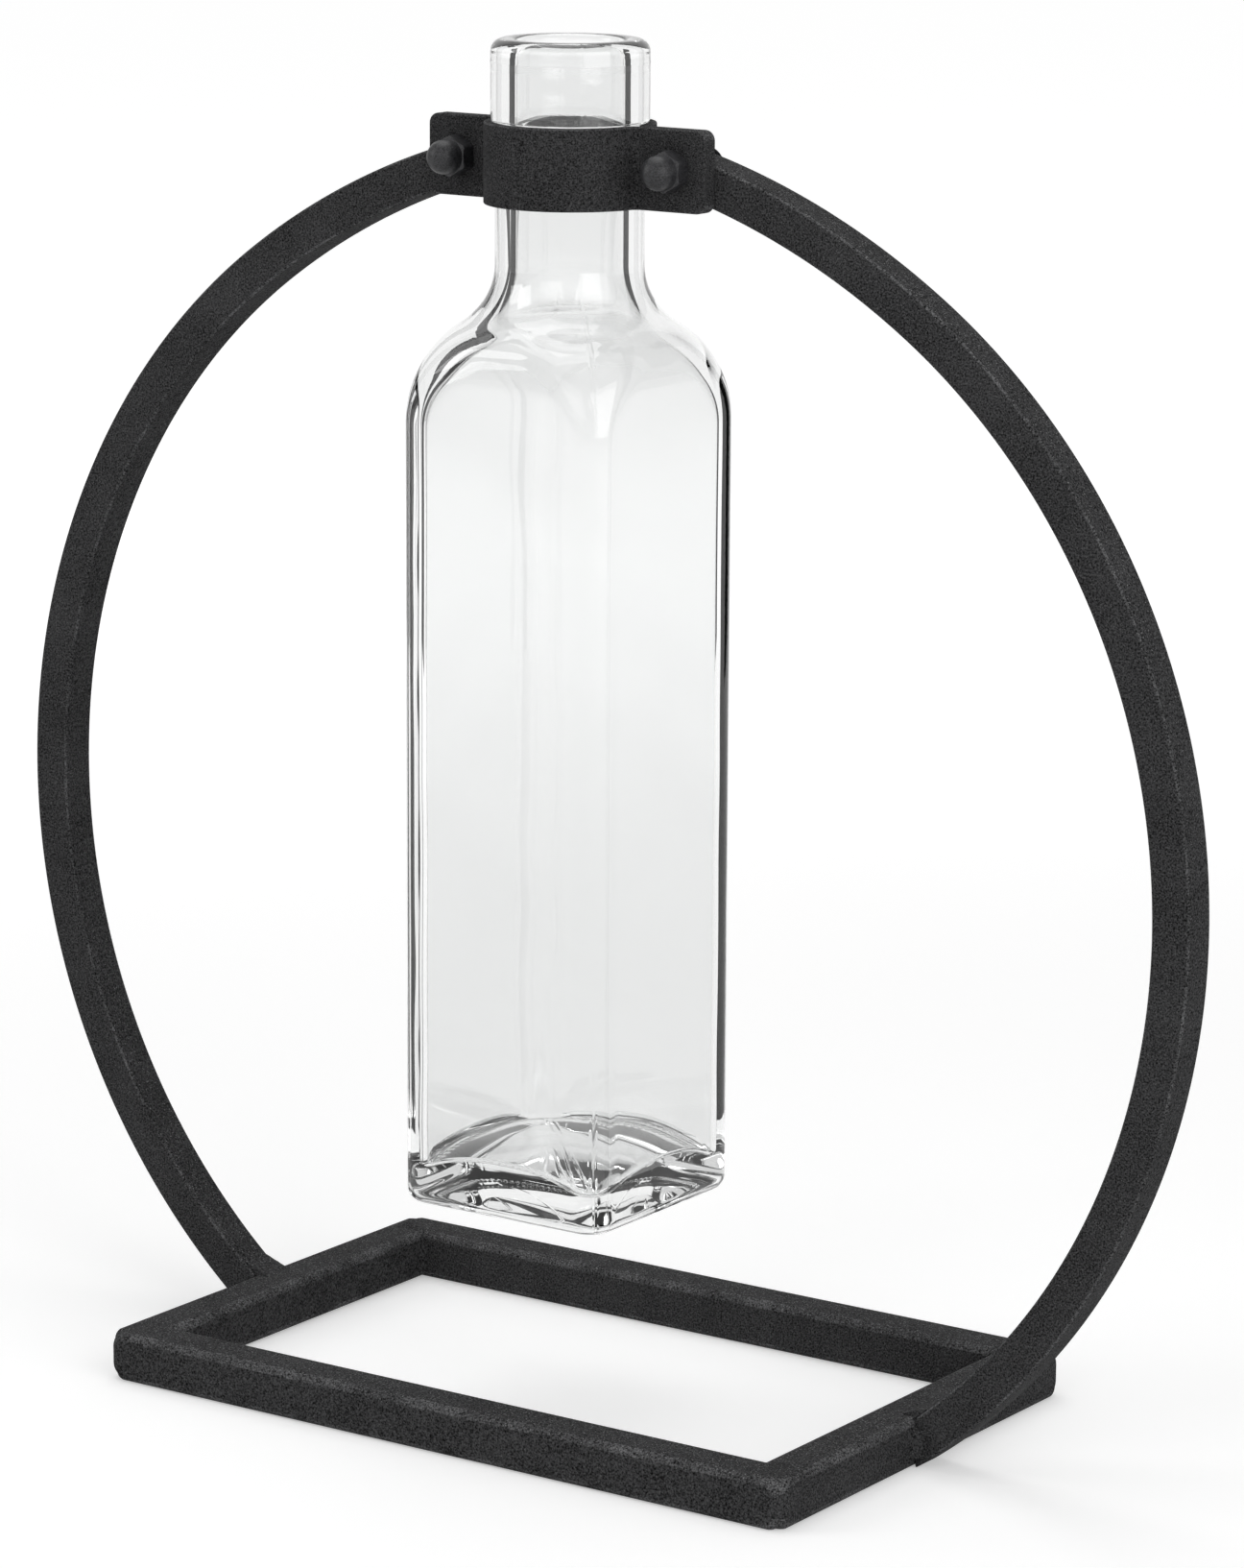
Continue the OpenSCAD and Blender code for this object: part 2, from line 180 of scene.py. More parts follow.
class BottleSettings(bpy.types.PropertyGroup):
    """Sizes of the glass bottle."""
    body: length("Body", "Side of the square body", BOTTLE_HIGH.x - BOTTLE_LOW.x)
    corner: length("Corner", "Radius of the body's upright corners", 0.006)
    wall: length("Wall", "Thickness of the body's walls", 0.0032)
    floor: length("Floor", "Height of the inner floor at its corners", 0.0060)
    punt: length("Punt", "Rise of the inner floor from its corners to its middle", 0.0065)
    cushion: amount("Cushion", "How flat the inner floor is before it falls to its corners", 3.0, 2.0)
    punt_wave: length("Floor wave", "Unevenness of the inner floor", 0.0006)
    heel: length("Heel", "Radius between the sides and the underside", 0.003)
    inner_heel: length("Inner heel", "Radius between the inner sides and the floor", 0.0025)
    heel_gap: length("Heel gap", "Height of the sides' first ring above a heel", 0.001)
    least_corner: length("Least corner", "Smallest corner radius at the inner floor", 0.001)
    bearing: length("Bearing", "Width of the ring that the bottle can stand on", 0.0025)
    hollow: length("Hollow", "Depth of the hollow under the bottle", 0.0016)
    knurl: length("Knurl", "Height of the small bumps under the rim", 0.00028)
    knurl_pitch: length("Knurl pitch", "Distance from one bump to the next", 0.0014)
    neck: length("Neck", "Diameter of the neck", 0.0284)
    bore: length("Bore", "Diameter of the bore", 0.0204)
    neck_length: length("Neck length", "Straight stretch of the neck under the finish", 0.0268)
    neck_fillet: length("Neck fillet", "Height of the fillet between neck and finish", 0.0004)
    neck_curve: length("Neck curve", "Radius of the hollow curve below the neck", 0.013)
    corner_shoulder: length("Corner shoulder", "Radius of the shoulder over a corner", 0.022)
    face_shoulder: length("Face shoulder", "Radius of the shoulder over a flat side", 0.014)
    finish: length("Finish", "Diameter of the thick ring round the mouth", 0.0302)
    lip: length("Lip", "Radius of the finish's upper outer edge", 0.0024)
    mouth: length("Mouth edge", "Radius of the finish's inner edge", 0.0012)
    under: length("Lower edge", "Radius of the finish's lower edge", 0.0003)
    parting: length("Parting", "Height of the mould's parting line on the finish", 0.00008)
    parting_drop: length("Parting drop", "Distance of that line from the top", 0.0043)
    parting_half: length("Parting half", "Half the width of that line", 0.0003)
    seam: length("Seam", "Height of the mould's seam down two corners", 0.00006)
    unevenness: length("Unevenness", "Waviness of the blown inner wall", 0.00022)
    fade_above: length("Fade above", "Stretch over which the waviness ends at the neck", 0.03)
    fade_below: length("Fade below", "Stretch over which the waviness ends at the floor", 0.01)
    seed: whole("Seed", "Seed of the inner wall's waviness", 7, 0, 999)
    crease: degrees("Crease", "Bend from which the glass's shading breaks", 50)


class FinishSettings(bpy.types.PropertyGroup):
    """Colours of the coat and the glass."""
    coat: colour("Coat", "Colour of the sandy black coat", (0.0425, 0.0425, 0.0435))
    strap: colour("Strap", "Colour of the black coat on the collar's straps", (0.037, 0.037, 0.038))
    # the same colour serves for the painted glints on upward faces
    fleck_and_glint: colour("Fleck", "Colour of the light grains in the coat", (0.27, 0.27, 0.272))
    fastener: colour("Fastener", "Colour of the blackened nuts and bolts", (0.022, 0.022, 0.024))
    glass: colour("Glass", "Tint of the clear glass", (0.888, 0.893, 0.891))
    grain: length("Grain", "Size of the coat's sandy grains", 0.00036)


class StageSettings(bpy.types.PropertyGroup):
    """Floor, lamps and surroundings."""
    paper: colour("Paper", "Colour of the floor", (0.80, 0.80, 0.80))
    near_glow: amount("Near glow", "Light that the floor adds to the picture at the object", 0.372)
    far_glow: amount("Far glow", "The same, where the lamps don't reach", 0.70)
    near: length("Near", "Distance within which the floor has its near glow", 0.25)
    far: length("Far", "Distance from which the floor has its far glow", 1.1)
    fill: amount("Fill", "Strength of the light from all round", 0.36)
    sides: amount("Sides", "What glass and gloss see beside the white wall behind", 0.7)
    overhead_power: amount("Overhead", "Power of the large lamp overhead, in watts", 4.2)
    left_power: amount("Left", "Power of the lamp at the left, in watts", 2.6)
    right_power: amount("Right", "Power of the lamp at the right, in watts", 5.6)
    front_power: amount("Front", "Power of the lamp in front, in watts", 1.8)
    card: colour("Card", "Colour of the black cards", (0.03, 0.03, 0.03))
    card_width: length("Card width", "Width of the black cards", 0.17)
    card_low: length("Card low", "Height of a card's lower edge", 0.06)
    card_high: length("Card high", "Height of a card's upper edge", 1.3)
    card_aside: length("Card aside", "Distance of the cards to the side of the object", 0.40)
    card_behind: length("Card behind", "Distance of the cards behind the object", 0.27)


SETTINGS = {
    "base": BaseSettings,
    "hoop": HoopSettings,
    "weld": WeldSettings,
    "collar": CollarSettings,
    "nut": NutSettings,
    "bottle": BottleSettings,
    "finish": FinishSettings,
    "stage": StageSettings,
}


class StandSettings(bpy.types.PropertyGroup):
    """All settings of the stand."""
    base: PointerProperty(type=BaseSettings)
    hoop: PointerProperty(type=HoopSettings)
    weld: PointerProperty(type=WeldSettings)
    collar: PointerProperty(type=CollarSettings)
    nut: PointerProperty(type=NutSettings)
    bottle: PointerProperty(type=BottleSettings)
    finish: PointerProperty(type=FinishSettings)
    stage: PointerProperty(type=StageSettings)


# Node trees

def new_tree(name, kind, inputs, outputs):
    """Node tree with its group input and output, for named sockets given as (name, type, default)."""
    tree = bpy.data.node_groups.new(name, kind)
    for direction, sockets in (("INPUT", inputs), ("OUTPUT", outputs)):
        for label, socket_type, default in sockets:
            socket = tree.interface.new_socket(label, in_out=direction, socket_type=socket_type)
            if default is not None:
                socket.default_value = default
    return tree, tree.nodes.new("NodeGroupInput"), tree.nodes.new("NodeGroupOutput")


def node(tree, kind, inputs=None, **settings):
    """Adds a node; each input takes a value or the socket that feeds it."""
    made = tree.nodes.new(kind)
    for key, value in settings.items():
        setattr(made, key, value)
    for key, value in (inputs or {}).items():
        if isinstance(value, bpy.types.NodeSocket):
            tree.links.new(value, made.inputs[key])
        else:
            made.inputs[key].default_value = value
    return made


def calc(tree, operation, *values):
    """Math node's output for values or sockets."""
    made = tree.nodes.new("ShaderNodeMath")
    made.operation = operation
    for place, value in enumerate(values):
        if isinstance(value, bpy.types.NodeSocket):
            tree.links.new(value, made.inputs[place])
        else:
            made.inputs[place].default_value = value
    return made.outputs[0]


def end_tree(tree, geometry, given, out):
    """Ends a geometry tree in plain mesh with the given material."""
    real = node(tree, "GeometryNodeRealizeInstances", {"Geometry": geometry})
    coated = node(tree, "GeometryNodeSetMaterial",
                  {"Geometry": real.outputs["Geometry"], "Material": given.outputs["Material"]})
    tree.links.new(coated.outputs["Geometry"], out.inputs["Geometry"])


def apply_tree(piece, tree, values, material):
    """Turns an object into the plain mesh that a geometry tree makes with the given inputs."""
    modifier = piece.modifiers.new("Tree", "NODES")
    modifier.node_group = tree
    sockets = {item.name: item.identifier for item in tree.interface.items_tree
               if item.in_out == "INPUT"}
    for label, value in values.items():
        modifier[sockets[label]] = value
    modifier[sockets["Material"]] = material
    bpy.context.view_layer.update()
    settle(piece)
    if len(piece.data.polygons) == 0:
        raise RuntimeError(f"{piece.name} came out empty")


def grow(name, tree, values, material):
    """Plain mesh object grown by a geometry tree with the given input values."""
    grown = bpy.data.objects.new(name, bpy.data.meshes.new(name))
    bpy.context.scene.collection.objects.link(grown)
    apply_tree(grown, tree, values, material)
    return grown


def settle(piece):
    """Turns an object's modifiers into a plain mesh."""
    graph = bpy.context.evaluated_depsgraph_get()
    mesh = bpy.data.meshes.new_from_object(piece.evaluated_get(graph))
    piece.modifiers.clear()
    old = piece.data
    piece.data = mesh
    mesh.name = piece.name
    bpy.data.meshes.remove(old)


def smooth(piece, crease=CREASE):
    """Smooth shading, broken at edges sharper than the crease."""
    piece.data.shade_smooth()
    piece.data.set_sharp_from_angle(angle=crease)


def mark_edges(piece, axis):
    """Marks the faces of rounded edges, where the coat gets a painted highlight.

    Flat faces look along the given axis or across it.
    """
    low, high = EDGE_TILT
    marks = piece.data.attributes.new("edge", "FLOAT", "FACE")
    for face, mark in zip(piece.data.polygons, marks.data):
        mark.value = float(low < abs(face.normal[axis]) < high)


def stand_for(piece, cad_node, material):
    """Puts a finished piece in the place of a CAD node."""
    cad = frame["nodes"][cad_node]
    piece.data.materials.clear()
    piece.data.materials.append(material)
    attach(piece, cad["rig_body"])
    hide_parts(cad_node)


def softened_copy(cad_node, name, edge=0.0, crease=0.0):
    """Merged copy of a CAD node's mesh, its edges rounded where a radius is given."""
    mesh = frame["nodes"][cad_node].data.copy()
    mesh.name = name
    copy = bpy.data.objects.new(name, mesh)
    bpy.context.scene.collection.objects.link(copy)
    merged = bmesh.new()
    merged.from_mesh(mesh)
    bmesh.ops.remove_doubles(merged, verts=merged.verts, dist=MERGE)
    bmesh.ops.dissolve_limit(merged, angle_limit=FLAT_BEND, verts=merged.verts,
                             edges=merged.edges)
    merged.to_mesh(mesh)
    merged.free()
    if edge > 0:
        bevel = copy.modifiers.new("Edges", "BEVEL")
        bevel.width = edge
        bevel.segments = 3
        bevel.limit_method = "ANGLE"
        bevel.angle_limit = crease
        settle(copy)
    return copy


# Finishes

def sandy_coat_group():
    """Colour, roughness and height of a coat with fine sandy grains and a few light flecks, with a
    painted highlight on rounded edges and painted glints on upward faces.
    """
    tree, given, out = new_tree(
        "Sandy Coat", "ShaderNodeTree",
        [("Place", "NodeSocketVector", None),
         ("Grains per Metre", "NodeSocketFloat", 2400.0),
         ("Coat", "NodeSocketColor", None),
         ("Fleck", "NodeSocketColor", None),
         ("Flecks", "NodeSocketFloat", 0.5),
         ("Edge", "NodeSocketFloat", 0.0),
         ("Roughness", "NodeSocketFloat", 0.55)],
        [("Colour", "NodeSocketColor", None),
         ("Roughness", "NodeSocketFloat", None),
         ("Height", "NodeSocketFloat", None)])
    place = given.outputs["Place"]
    grains = given.outputs["Grains per Metre"]
    sand = node(tree, "ShaderNodeTexNoise",
                {"Vector": place, "Scale": grains, "Detail": 1.0, "Roughness": 0.5})
    pits = node(tree, "ShaderNodeTexVoronoi", {"Vector": place, "Scale": grains})
    cloud = node(tree, "ShaderNodeTexNoise",
                 {"Vector": place, "Scale": calc(tree, "MULTIPLY", grains, 0.035), "Detail": 4.0})
    near = node(tree, "ShaderNodeMapRange",
                {"Value": pits.outputs["Distance"], "From Min": 0.12, "From Max": 0.42,
                 "To Min": 1.0, "To Max": 0.0}, interpolation_type="SMOOTHSTEP")
    pick = node(tree, "ShaderNodeSeparateColor", {"Color": pits.outputs["Color"]})
    chosen = calc(tree, "POWER", pick.outputs["Red"], 4.0)
    # painted glints: flecks are mixed in more strongly on upward faces, standing in for the light that
    # grains there catch from overhead
    facing = node(tree, "ShaderNodeSeparateXYZ",
                  {"Vector": node(tree, "ShaderNodeNewGeometry").outputs["True Normal"]})
    rise = calc(tree, "MAXIMUM", facing.outputs["Z"], 0.0)
    painted_top_glint = calc(tree, "ADD", calc(tree, "MULTIPLY", rise, 2.4), 0.6)
    fleck_and_glint = calc(tree, "MULTIPLY", calc(tree, "MULTIPLY", near.outputs["Result"], chosen),
                 calc(tree, "MULTIPLY", given.outputs["Flecks"], painted_top_glint))
    shade = node(tree, "ShaderNodeMapRange",
                 {"Value": calc(tree, "ADD", calc(tree, "MULTIPLY", sand.outputs["Fac"], 0.85),
                                calc(tree, "MULTIPLY", cloud.outputs["Fac"], 0.15)),
                  "From Min": 0.3, "From Max": 0.7, "To Min": 0.0, "To Max": 2.1})
    # painted highlight: the coat is made paler on rounded edges, standing in for light caught by their
    # rounding
    painted_edge_highlight = node(tree, "ShaderNodeMapRange",
                  {"Value": cloud.outputs["Fac"], "From Min": 0.35, "From Max": 0.6,
                   "To Min": 0.15, "To Max": 0.9})
    edge_highlight_gain = calc(tree, "ADD", calc(tree, "MULTIPLY", given.outputs["Edge"],
                                   painted_edge_highlight.outputs["Result"]), 1.0)
    tinted = node(tree, "ShaderNodeVectorMath",
                  {0: given.outputs["Coat"],
                   "Scale": calc(tree, "MULTIPLY", shade.outputs["Result"], edge_highlight_gain)},
                  operation="SCALE")
    mixed = node(tree, "ShaderNodeMix", {"Factor": fleck_and_glint}, data_type="RGBA")
    tree.links.new(tinted.outputs["Vector"], mixed.inputs["A"])
    tree.links.new(given.outputs["Fleck"], mixed.inputs["B"])
    rough = calc(tree, "ADD", given.outputs["Roughness"],
                 calc(tree, "MULTIPLY", calc(tree, "SUBTRACT", sand.outputs["Fac"], 0.5), 0.35))
    height = calc(tree, "ADD", sand.outputs["Fac"],
                  calc(tree, "MULTIPLY", near.outputs["Result"], 0.45))
    tree.links.new(mixed.outputs["Result"], out.inputs["Colour"])
    tree.links.new(rough, out.inputs["Roughness"])
    tree.links.new(height, out.inputs["Height"])
    return tree


def coated_metal(name, coat, fleck_and_glint, grain, flecks, roughness, gloss, bump, relief):
    """Metal under a black coat; relief is the height of the grains in metres."""
    material = bpy.data.materials.get(name)
    if material:
        return material
    material = bpy.data.materials.new(name)
    material.use_nodes = True
    tree = material.node_tree
    shader = tree.nodes["Principled BSDF"]
    shader.inputs["IOR"].default_value = 1.5
    shader.inputs["Specular IOR Level"].default_value = gloss
    group = bpy.data.node_groups.get("Sandy Coat") or sandy_coat_group()
    place = node(tree, "ShaderNodeTexCoord")
    sandy = node(tree, "ShaderNodeGroup", node_tree=group)
    tree.links.new(place.outputs["Object"], sandy.inputs["Place"])
    # faces marked as rounded edges get the painted highlight
    edge = node(tree, "ShaderNodeAttribute", attribute_name="edge")
    tree.links.new(edge.outputs["Fac"], sandy.inputs["Edge"])
    sandy.inputs["Grains per Metre"].default_value = 1 / grain
    sandy.inputs["Coat"].default_value = (*coat, 1)
    sandy.inputs["Fleck"].default_value = (*fleck_and_glint, 1)
    sandy.inputs["Flecks"].default_value = flecks
    sandy.inputs["Roughness"].default_value = roughness
    raised = node(tree, "ShaderNodeBump", {"Strength": bump, "Distance": relief,
                                           "Height": sandy.outputs["Height"]})
    tree.links.new(sandy.outputs["Colour"], shader.inputs["Base Color"])
    tree.links.new(sandy.outputs["Roughness"], shader.inputs["Roughness"])
    tree.links.new(raised.outputs["Normal"], shader.inputs["Normal"])
    return material


def iron_coat():
    """Sandy black coat of the bars, the arms and the welds."""
    finish = bpy.context.scene.bottle_stand.finish
    return coated_metal("black_iron_coat", finish.coat, finish.fleck_and_glint, finish.grain,
                        flecks=0.75, roughness=0.7, gloss=0.02, bump=1.0, relief=0.00016)


def strap_coat():
    """Finer and darker coat of the collar's straps."""
    finish = bpy.context.scene.bottle_stand.finish
    return coated_metal("black_strap_coat", finish.strap, finish.fleck_and_glint, finish.grain * 0.85,
                        flecks=0.7, roughness=0.7, gloss=0.02, bump=1.0, relief=0.00014)


def fastener_coat():
    """Smoother blackening of the bolts and the cap nuts."""
    finish = bpy.context.scene.bottle_stand.finish
    return coated_metal("blackened_steel", finish.fastener, finish.fleck_and_glint, finish.grain * 0.8,
                        flecks=0.15, roughness=0.42, gloss=0.35, bump=0.3, relief=0.00006)


def mould_marks_group():
    """Height of the mould's seam down two opposite corners."""
    tree, given, out = new_tree(
        "Mould Marks", "ShaderNodeTree",
        [("Place", "NodeSocketVector", None), ("Seam Width", "NodeSocketFloat", 0.0005)],
        [("Height", "NodeSocketFloat", None)])
    axes = node(tree, "ShaderNodeSeparateXYZ", {"Vector": given.outputs["Place"]})
    across = calc(tree, "ADD", axes.outputs["X"], axes.outputs["Y"])
    aside = calc(tree, "ABSOLUTE", calc(tree, "MULTIPLY", across, math.sqrt(0.5)))
    seam = node(tree, "ShaderNodeMapRange",
                {"Value": aside, "From Max": given.outputs["Seam Width"], "To Min": 1.0,
                 "To Max": 0.0}, interpolation_type="SMOOTHSTEP")
    tree.links.new(seam.outputs["Result"], out.inputs["Height"])
    return tree


def clear_glass():
    """Clear glass with the mould's faint seam."""
    material = bpy.data.materials.get("bottle_glass")
    if material:
        return material
    tint = bpy.context.scene.bottle_stand.finish.glass
    seam = bpy.context.scene.bottle_stand.bottle.seam
    material = bpy.data.materials.new("bottle_glass")
    material.use_nodes = True
    tree = material.node_tree
    shader = tree.nodes["Principled BSDF"]
    shader.inputs["Base Color"].default_value = (*tint, 1)
    shader.inputs["Metallic"].default_value = 0.0
    shader.inputs["Roughness"].default_value = 0.0
    shader.inputs["IOR"].default_value = 1.51
    shader.inputs["Transmission Weight"].default_value = 1.0
    place = node(tree, "ShaderNodeTexCoord")
    axis_y = (BOTTLE_LOW.y + BOTTLE_HIGH.y) / 2
    centred = node(tree, "ShaderNodeVectorMath",
                   {0: place.outputs["Object"], 1: (0.0, -axis_y, 0.0)}, operation="ADD")
    marks = node(tree, "ShaderNodeGroup", node_tree=mould_marks_group())
    tree.links.new(centred.outputs["Vector"], marks.inputs["Place"])
    raised = node(tree, "ShaderNodeBump", {"Strength": 1.0, "Distance": seam,
                                           "Height": marks.outputs["Height"]})
    tree.links.new(raised.outputs["Normal"], shader.inputs["Normal"])
    return material


# Hoop

def arm_tree():
    """Square bar rolled to two radii, cut upright at its foot and drilled for its bolt."""
    tree, given, out = new_tree(
        "Rolled Arm", "GeometryNodeTree",
        [("Side", "NodeSocketFloat", 1.0), ("Radius", "NodeSocketFloat", 0.132),
         ("Centre Height", "NodeSocketFloat", 0.11), ("Flare Radius", "NodeSocketFloat", 0.161),
         ("Flare From", "NodeSocketFloat", 0.6), ("Foot Angle", "NodeSocketFloat", 2.5),
         ("End Angle", "NodeSocketFloat", 0.2), ("Bar", "NodeSocketFloat", 0.008),
         ("Edge", "NodeSocketFloat", 0.0007), ("Steps", "NodeSocketInt", 170),
         ("Foot X", "NodeSocketFloat", 0.08), ("Hole", "NodeSocketVector", None),
         ("Hole Radius", "NodeSocketFloat", 0.0022), ("Material", "NodeSocketMaterial", None)],
        [("Geometry", "NodeSocketGeometry", None)])
    side = given.outputs["Side"]
    radius = given.outputs["Radius"]
    flare_from = given.outputs["Flare From"]
    bar = given.outputs["Bar"]
    line = node(tree, "GeometryNodeCurvePrimitiveLine")
    fine = node(tree, "GeometryNodeResampleCurve",
                {"Curve": line.outputs["Curve"], "Count": given.outputs["Steps"]})
    along = node(tree, "GeometryNodeSplineParameter")
    angle = node(tree, "ShaderNodeMapRange",
                 {"Value": along.outputs["Factor"], "To Min": given.outputs["Foot Angle"],
                  "To Max": given.outputs["End Angle"]}, clamp=False)
    turn = angle.outputs["Result"]
    flat = calc(tree, "LESS_THAN", turn, flare_from)
    shift = calc(tree, "MULTIPLY", calc(tree, "SUBTRACT", given.outputs["Flare Radius"], radius),
                 flat)
    reach = calc(tree, "ADD", radius, shift)
    x = calc(tree, "SUBTRACT", calc(tree, "MULTIPLY", reach, calc(tree, "SINE", turn)),
             calc(tree, "MULTIPLY", shift, calc(tree, "SINE", flare_from)))
    z = calc(tree, "SUBTRACT", calc(tree, "MULTIPLY", reach, calc(tree, "COSINE", turn)),
             calc(tree, "MULTIPLY", shift, calc(tree, "COSINE", flare_from)))
    place = node(tree, "ShaderNodeCombineXYZ",
                 {"X": calc(tree, "MULTIPLY", x, side),
                  "Z": calc(tree, "ADD", z, given.outputs["Centre Height"])})
    path = node(tree, "GeometryNodeSetPosition",
                {"Geometry": fine.outputs["Curve"], "Position": place.outputs["Vector"]})
    square = node(tree, "GeometryNodeCurvePrimitiveQuadrilateral",
                  {"Width": bar, "Height": bar})
    rounded = node(tree, "GeometryNodeFilletCurve",
                   {"Curve": square.outputs["Curve"], "Radius": given.outputs["Edge"],
                    "Count": 4, "Limit Radius": True}, mode="POLY")
    swept = node(tree, "GeometryNodeCurveToMesh",
                 {"Curve": path.outputs["Geometry"], "Profile Curve": rounded.outputs["Curve"],
                  "Fill Caps": True})
    # the block that the foot is cut with ends at the base's end face
    block_size = calc(tree, "MULTIPLY", radius, 2.0)
    block_x = calc(tree, "MULTIPLY", side, calc(tree, "SUBTRACT", given.outputs["Foot X"], radius))
    block = node(tree, "GeometryNodeMeshCube")
    size = node(tree, "ShaderNodeCombineXYZ", {"X": block_size, "Y": block_size, "Z": block_size})
    tree.links.new(size.outputs["Vector"], block.inputs["Size"])
    block_place = node(tree, "ShaderNodeCombineXYZ",
                       {"X": block_x, "Z": calc(tree, "SUBTRACT", given.outputs["Centre Height"],
                                                radius)})
    set_block = node(tree, "GeometryNodeTransform",
                     {"Geometry": block.outputs["Mesh"],
                      "Translation": block_place.outputs["Vector"]})
    drill = node(tree, "GeometryNodeMeshCylinder",
                 {"Vertices": 48, "Radius": given.outputs["Hole Radius"],
                  "Depth": calc(tree, "MULTIPLY", bar, 1.5)})
    set_drill = node(tree, "GeometryNodeTransform",
                     {"Geometry": drill.outputs["Mesh"], "Translation": given.outputs["Hole"],
                      "Rotation": (math.pi / 2, 0.0, 0.0)})
    cut = node(tree, "GeometryNodeMeshBoolean", operation="DIFFERENCE", solver="EXACT")
    tree.links.new(swept.outputs["Mesh"], cut.inputs["Mesh 1"])
    tree.links.new(set_block.outputs["Geometry"], cut.inputs["Mesh 2"])
    tree.links.new(set_drill.outputs["Geometry"], cut.inputs["Mesh 2"])
    end_tree(tree, cut.outputs["Mesh"], given, out)
    return tree


class BOTTLE_STAND_OT_hoop(bpy.types.Operator):
    """Rolls both arms of the hoop from square bar"""
    bl_idname = "bottle_stand.hoop"
    bl_label = "Hoop Arms"

    def execute(self, context):
        hoop = context.scene.bottle_stand.hoop
        tree = arm_tree()
        foot_x = BASE_HIGH.x
        centre_z = math.sqrt(hoop.radius ** 2 - foot_x ** 2)
        shift = hoop.flare_radius - hoop.radius
        reach = ARM_LOW.x + shift * math.sin(hoop.flare_from)
        values = {
            "Radius": hoop.radius - hoop.bar / 2,
            "Centre Height": centre_z,
            "Flare Radius": hoop.flare_radius - hoop.bar / 2,
            "Flare From": hoop.flare_from,
            "Foot Angle": math.pi / 2 + math.acos(foot_x / hoop.radius) + hoop.foot_overrun,
            "End Angle": math.asin(reach / (hoop.flare_radius - hoop.bar)),
            "Bar": hoop.bar,
            "Edge": hoop.edge,
            "Steps": hoop.steps,
            "Foot X": foot_x,
            "Hole Radius": hoop.hole / 2,
        }
        for word, side in SIDES.items():
            values["Side"] = float(side)
            values["Hole"] = (side * BOLT_X, 0.0, BOLT_Z)
            arm = grow(f"rolled_{word}_arm", tree, values, iron_coat())
            mark_edges(arm, axis=1)
            smooth(arm)
            stand_for(arm, f"hoop_{word}_arm", iron_coat())
        return {"FINISHED"}


# Base

def grind_corners(piece, base):
    """Rounds the base's outer corners in every direction, as a grinder leaves them."""
    ground = bmesh.new()
    ground.from_mesh(piece.data)
    core_low = BASE_LOW + Vector((base.corner, base.corner, base.corner))
    core_high = BASE_HIGH - Vector((base.corner, base.corner, base.corner))
    for k in range(base.cuts):
        inward = base.corner * (1 - math.cos(math.pi / 2 * (k + 1) / base.cuts))
        for axis in range(3):
            across = Vector((axis == 0, axis == 1, axis == 2))
            for place in (BASE_LOW[axis] + inward, BASE_HIGH[axis] - inward):
                bmesh.ops.bisect_plane(ground, dist=MERGE, plane_co=across * place, plane_no=across,
                                       geom=ground.verts[:] + ground.edges[:] + ground.faces[:])
    for point in ground.verts:
        inner = Vector(min(max(part, low), high)
                       for part, low, high in zip(point.co, core_low, core_high))
        out = point.co - inner
        depth = min(abs(out.x), abs(out.y))
        if depth > 0 and out.length > base.corner:
            share = min(2 * depth / base.corner, 1.0)
            share *= share * (3 - 2 * share)
            point.co = inner + out * (1 + (base.corner / out.length - 1) * share)
    ground.to_mesh(piece.data)
    ground.free()


class BOTTLE_STAND_OT_base(bpy.types.Operator):
    """Dresses the four bars of the base"""
    bl_idname = "bottle_stand.base"
    bl_label = "Base Bars"

    def execute(self, context):
        for word in ("front", "back", "left", "right"):
            bar = softened_copy(f"base_{word}_bar", f"coated_{word}_bar")
            if word in ENDS:
                grind_corners(bar, context.scene.bottle_stand.base)
            mark_edges(bar, axis=2)
            smooth(bar)
            stand_for(bar, f"base_{word}_bar", iron_coat())
        return {"FINISHED"}


# Welds

def uneven_tree():
    """Splits a piece's faces and lets its skin rise and fall a little."""
    tree, given, out = new_tree(
        "Uneven Skin", "GeometryNodeTree",
        [("Geometry", "NodeSocketGeometry", None), ("Cuts", "NodeSocketInt", 3),
         ("Wave", "NodeSocketFloat", 0.001), ("Height", "NodeSocketFloat", 0.0001),
         ("Seed", "NodeSocketFloat", 1.0), ("Material", "NodeSocketMaterial", None)],
        [("Geometry", "NodeSocketGeometry", None)])
    split = node(tree, "GeometryNodeSubdivideMesh",
                 {"Mesh": given.outputs["Geometry"], "Level": given.outputs["Cuts"]})
    lumps = node(tree, "ShaderNodeTexNoise",
                 {"Vector": node(tree, "GeometryNodeInputPosition").outputs["Position"],
                  "W": given.outputs["Seed"],
                  "Scale": calc(tree, "DIVIDE", 1.0, given.outputs["Wave"]), "Detail": 2.0},
                 noise_dimensions="4D")
    rise = calc(tree, "MULTIPLY", calc(tree, "SUBTRACT", lumps.outputs["Fac"], 0.5),
                calc(tree, "MULTIPLY", given.outputs["Height"], 2.0))
    outward = node(tree, "ShaderNodeVectorMath",
                   {0: node(tree, "GeometryNodeInputNormal").outputs["Normal"], "Scale": rise},
                   operation="SCALE")
    uneven = node(tree, "GeometryNodeSetPosition",
                  {"Geometry": split.outputs["Mesh"], "Offset": outward.outputs["Vector"]})
    end_tree(tree, uneven.outputs["Geometry"], given, out)
    return tree


